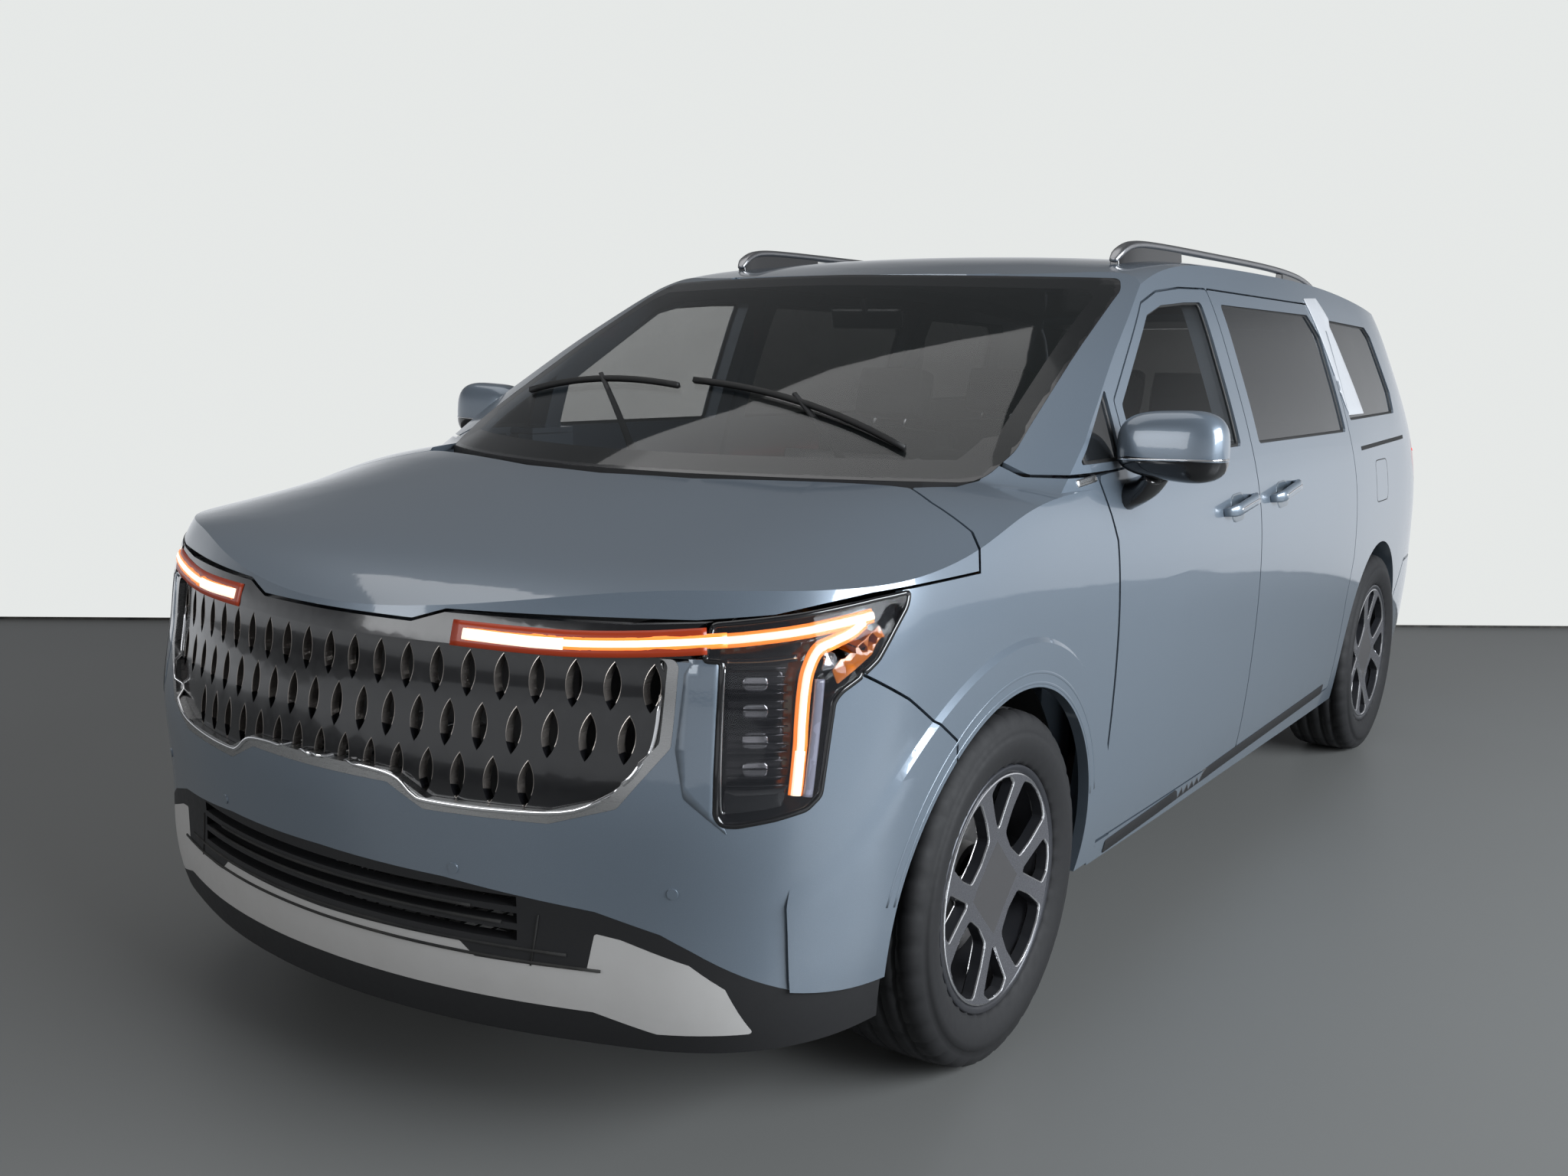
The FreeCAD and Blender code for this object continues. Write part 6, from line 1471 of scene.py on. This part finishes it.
def makeFloor(settings):
    material, tree, shader, spot = newMaterial("studioFloor")
    shade = remap(tree, noiseOn(tree, spot, 0.35, Detail=4.0), 0.93, 1.07)
    setInputs(tree, shader, {"Base Color": scaled(tree, settings["floorShade"], shade), "Roughness": settings["dull"]})
    first, second = (Vector(foot) for foot in settings["wallFoot"])
    along = (second - first).normalized()
    ahead = Vector((along.y, -along.x, 0)) * 60
    rise = Vector((0, 0, settings["skirting"]))
    low, high = first - along * 50, second + along * 50
    stagePiece("studioFloor", [low, high, high + ahead, low + ahead], (0, 3, 2, 1), material)
    stagePiece("skirting", [low, high, high + rise, low + rise], (0, 1, 2, 3), linerBlack)


def makeSky(settings):
    world = bpy.data.worlds.new("studioSky")
    scene.world = world
    world.use_nodes = True
    tree = world.node_tree
    tree.nodes.clear()
    spot = tree.nodes.new("ShaderNodeTexCoord").outputs["Generated"]
    level = addNode(tree, "SeparateXYZ", {"Vector": spot}).outputs["Z"]
    bright = remap(tree, level, 0.78, 0.14, **{"From Min": 0.04, "From Max": 0.28})
    light = addNode(tree, "Background", {"Color": (0.93, 0.96, 1.0, 1), "Strength": bright})
    seen = addNode(tree, "Background", {"Color": settings["wallShade"], "Strength": 1.0})
    camera = tree.nodes.new("ShaderNodeLightPath").outputs["Is Camera Ray"]
    mix = addNode(tree, "MixShader", {"Fac": camera, 1: light.outputs[0], 2: seen.outputs[0]})
    tree.links.new(mix.outputs[0], tree.nodes.new("ShaderNodeOutputWorld").inputs["Surface"])


lampSettings = {
    "overhead": {"spot": (-1.5, -1.0, 5.2), "target": (0, 0, 0), "size": (4, 5), "power": 70, "shade": (1, 1, 1)},
    "leftSide": {"spot": (7.5, -0.5, 3.6), "target": (0, 0, 0.8), "size": (8, 3.5), "power": 1250,
                 "shade": (0.90, 0.95, 1)},
    "frontSide": {"spot": (-2.5, -8.5, 3.2), "target": (0, -1.5, 0.7), "size": (5, 2.4), "power": 140,
                  "shade": (0.96, 0.98, 1)},
}


def makeLamps():
    for name, settings in lampSettings.items():
        data = bpy.data.lights.new(name, "AREA")
        data.shape = "RECTANGLE"
        data.size, data.size_y = settings["size"]
        data.energy = settings["power"]
        data.color = settings["shade"]
        lamp = bpy.data.objects.new(name, data)
        spot = Vector(settings["spot"])
        lamp.location = spot
        lamp.rotation_euler = (Vector(settings["target"]) - spot).to_track_quat("-Z", "Y").to_euler()
        scene.collection.objects.link(lamp)


makeFloor(studio)
makeSky(studio)
makeLamps()
print("stage set")
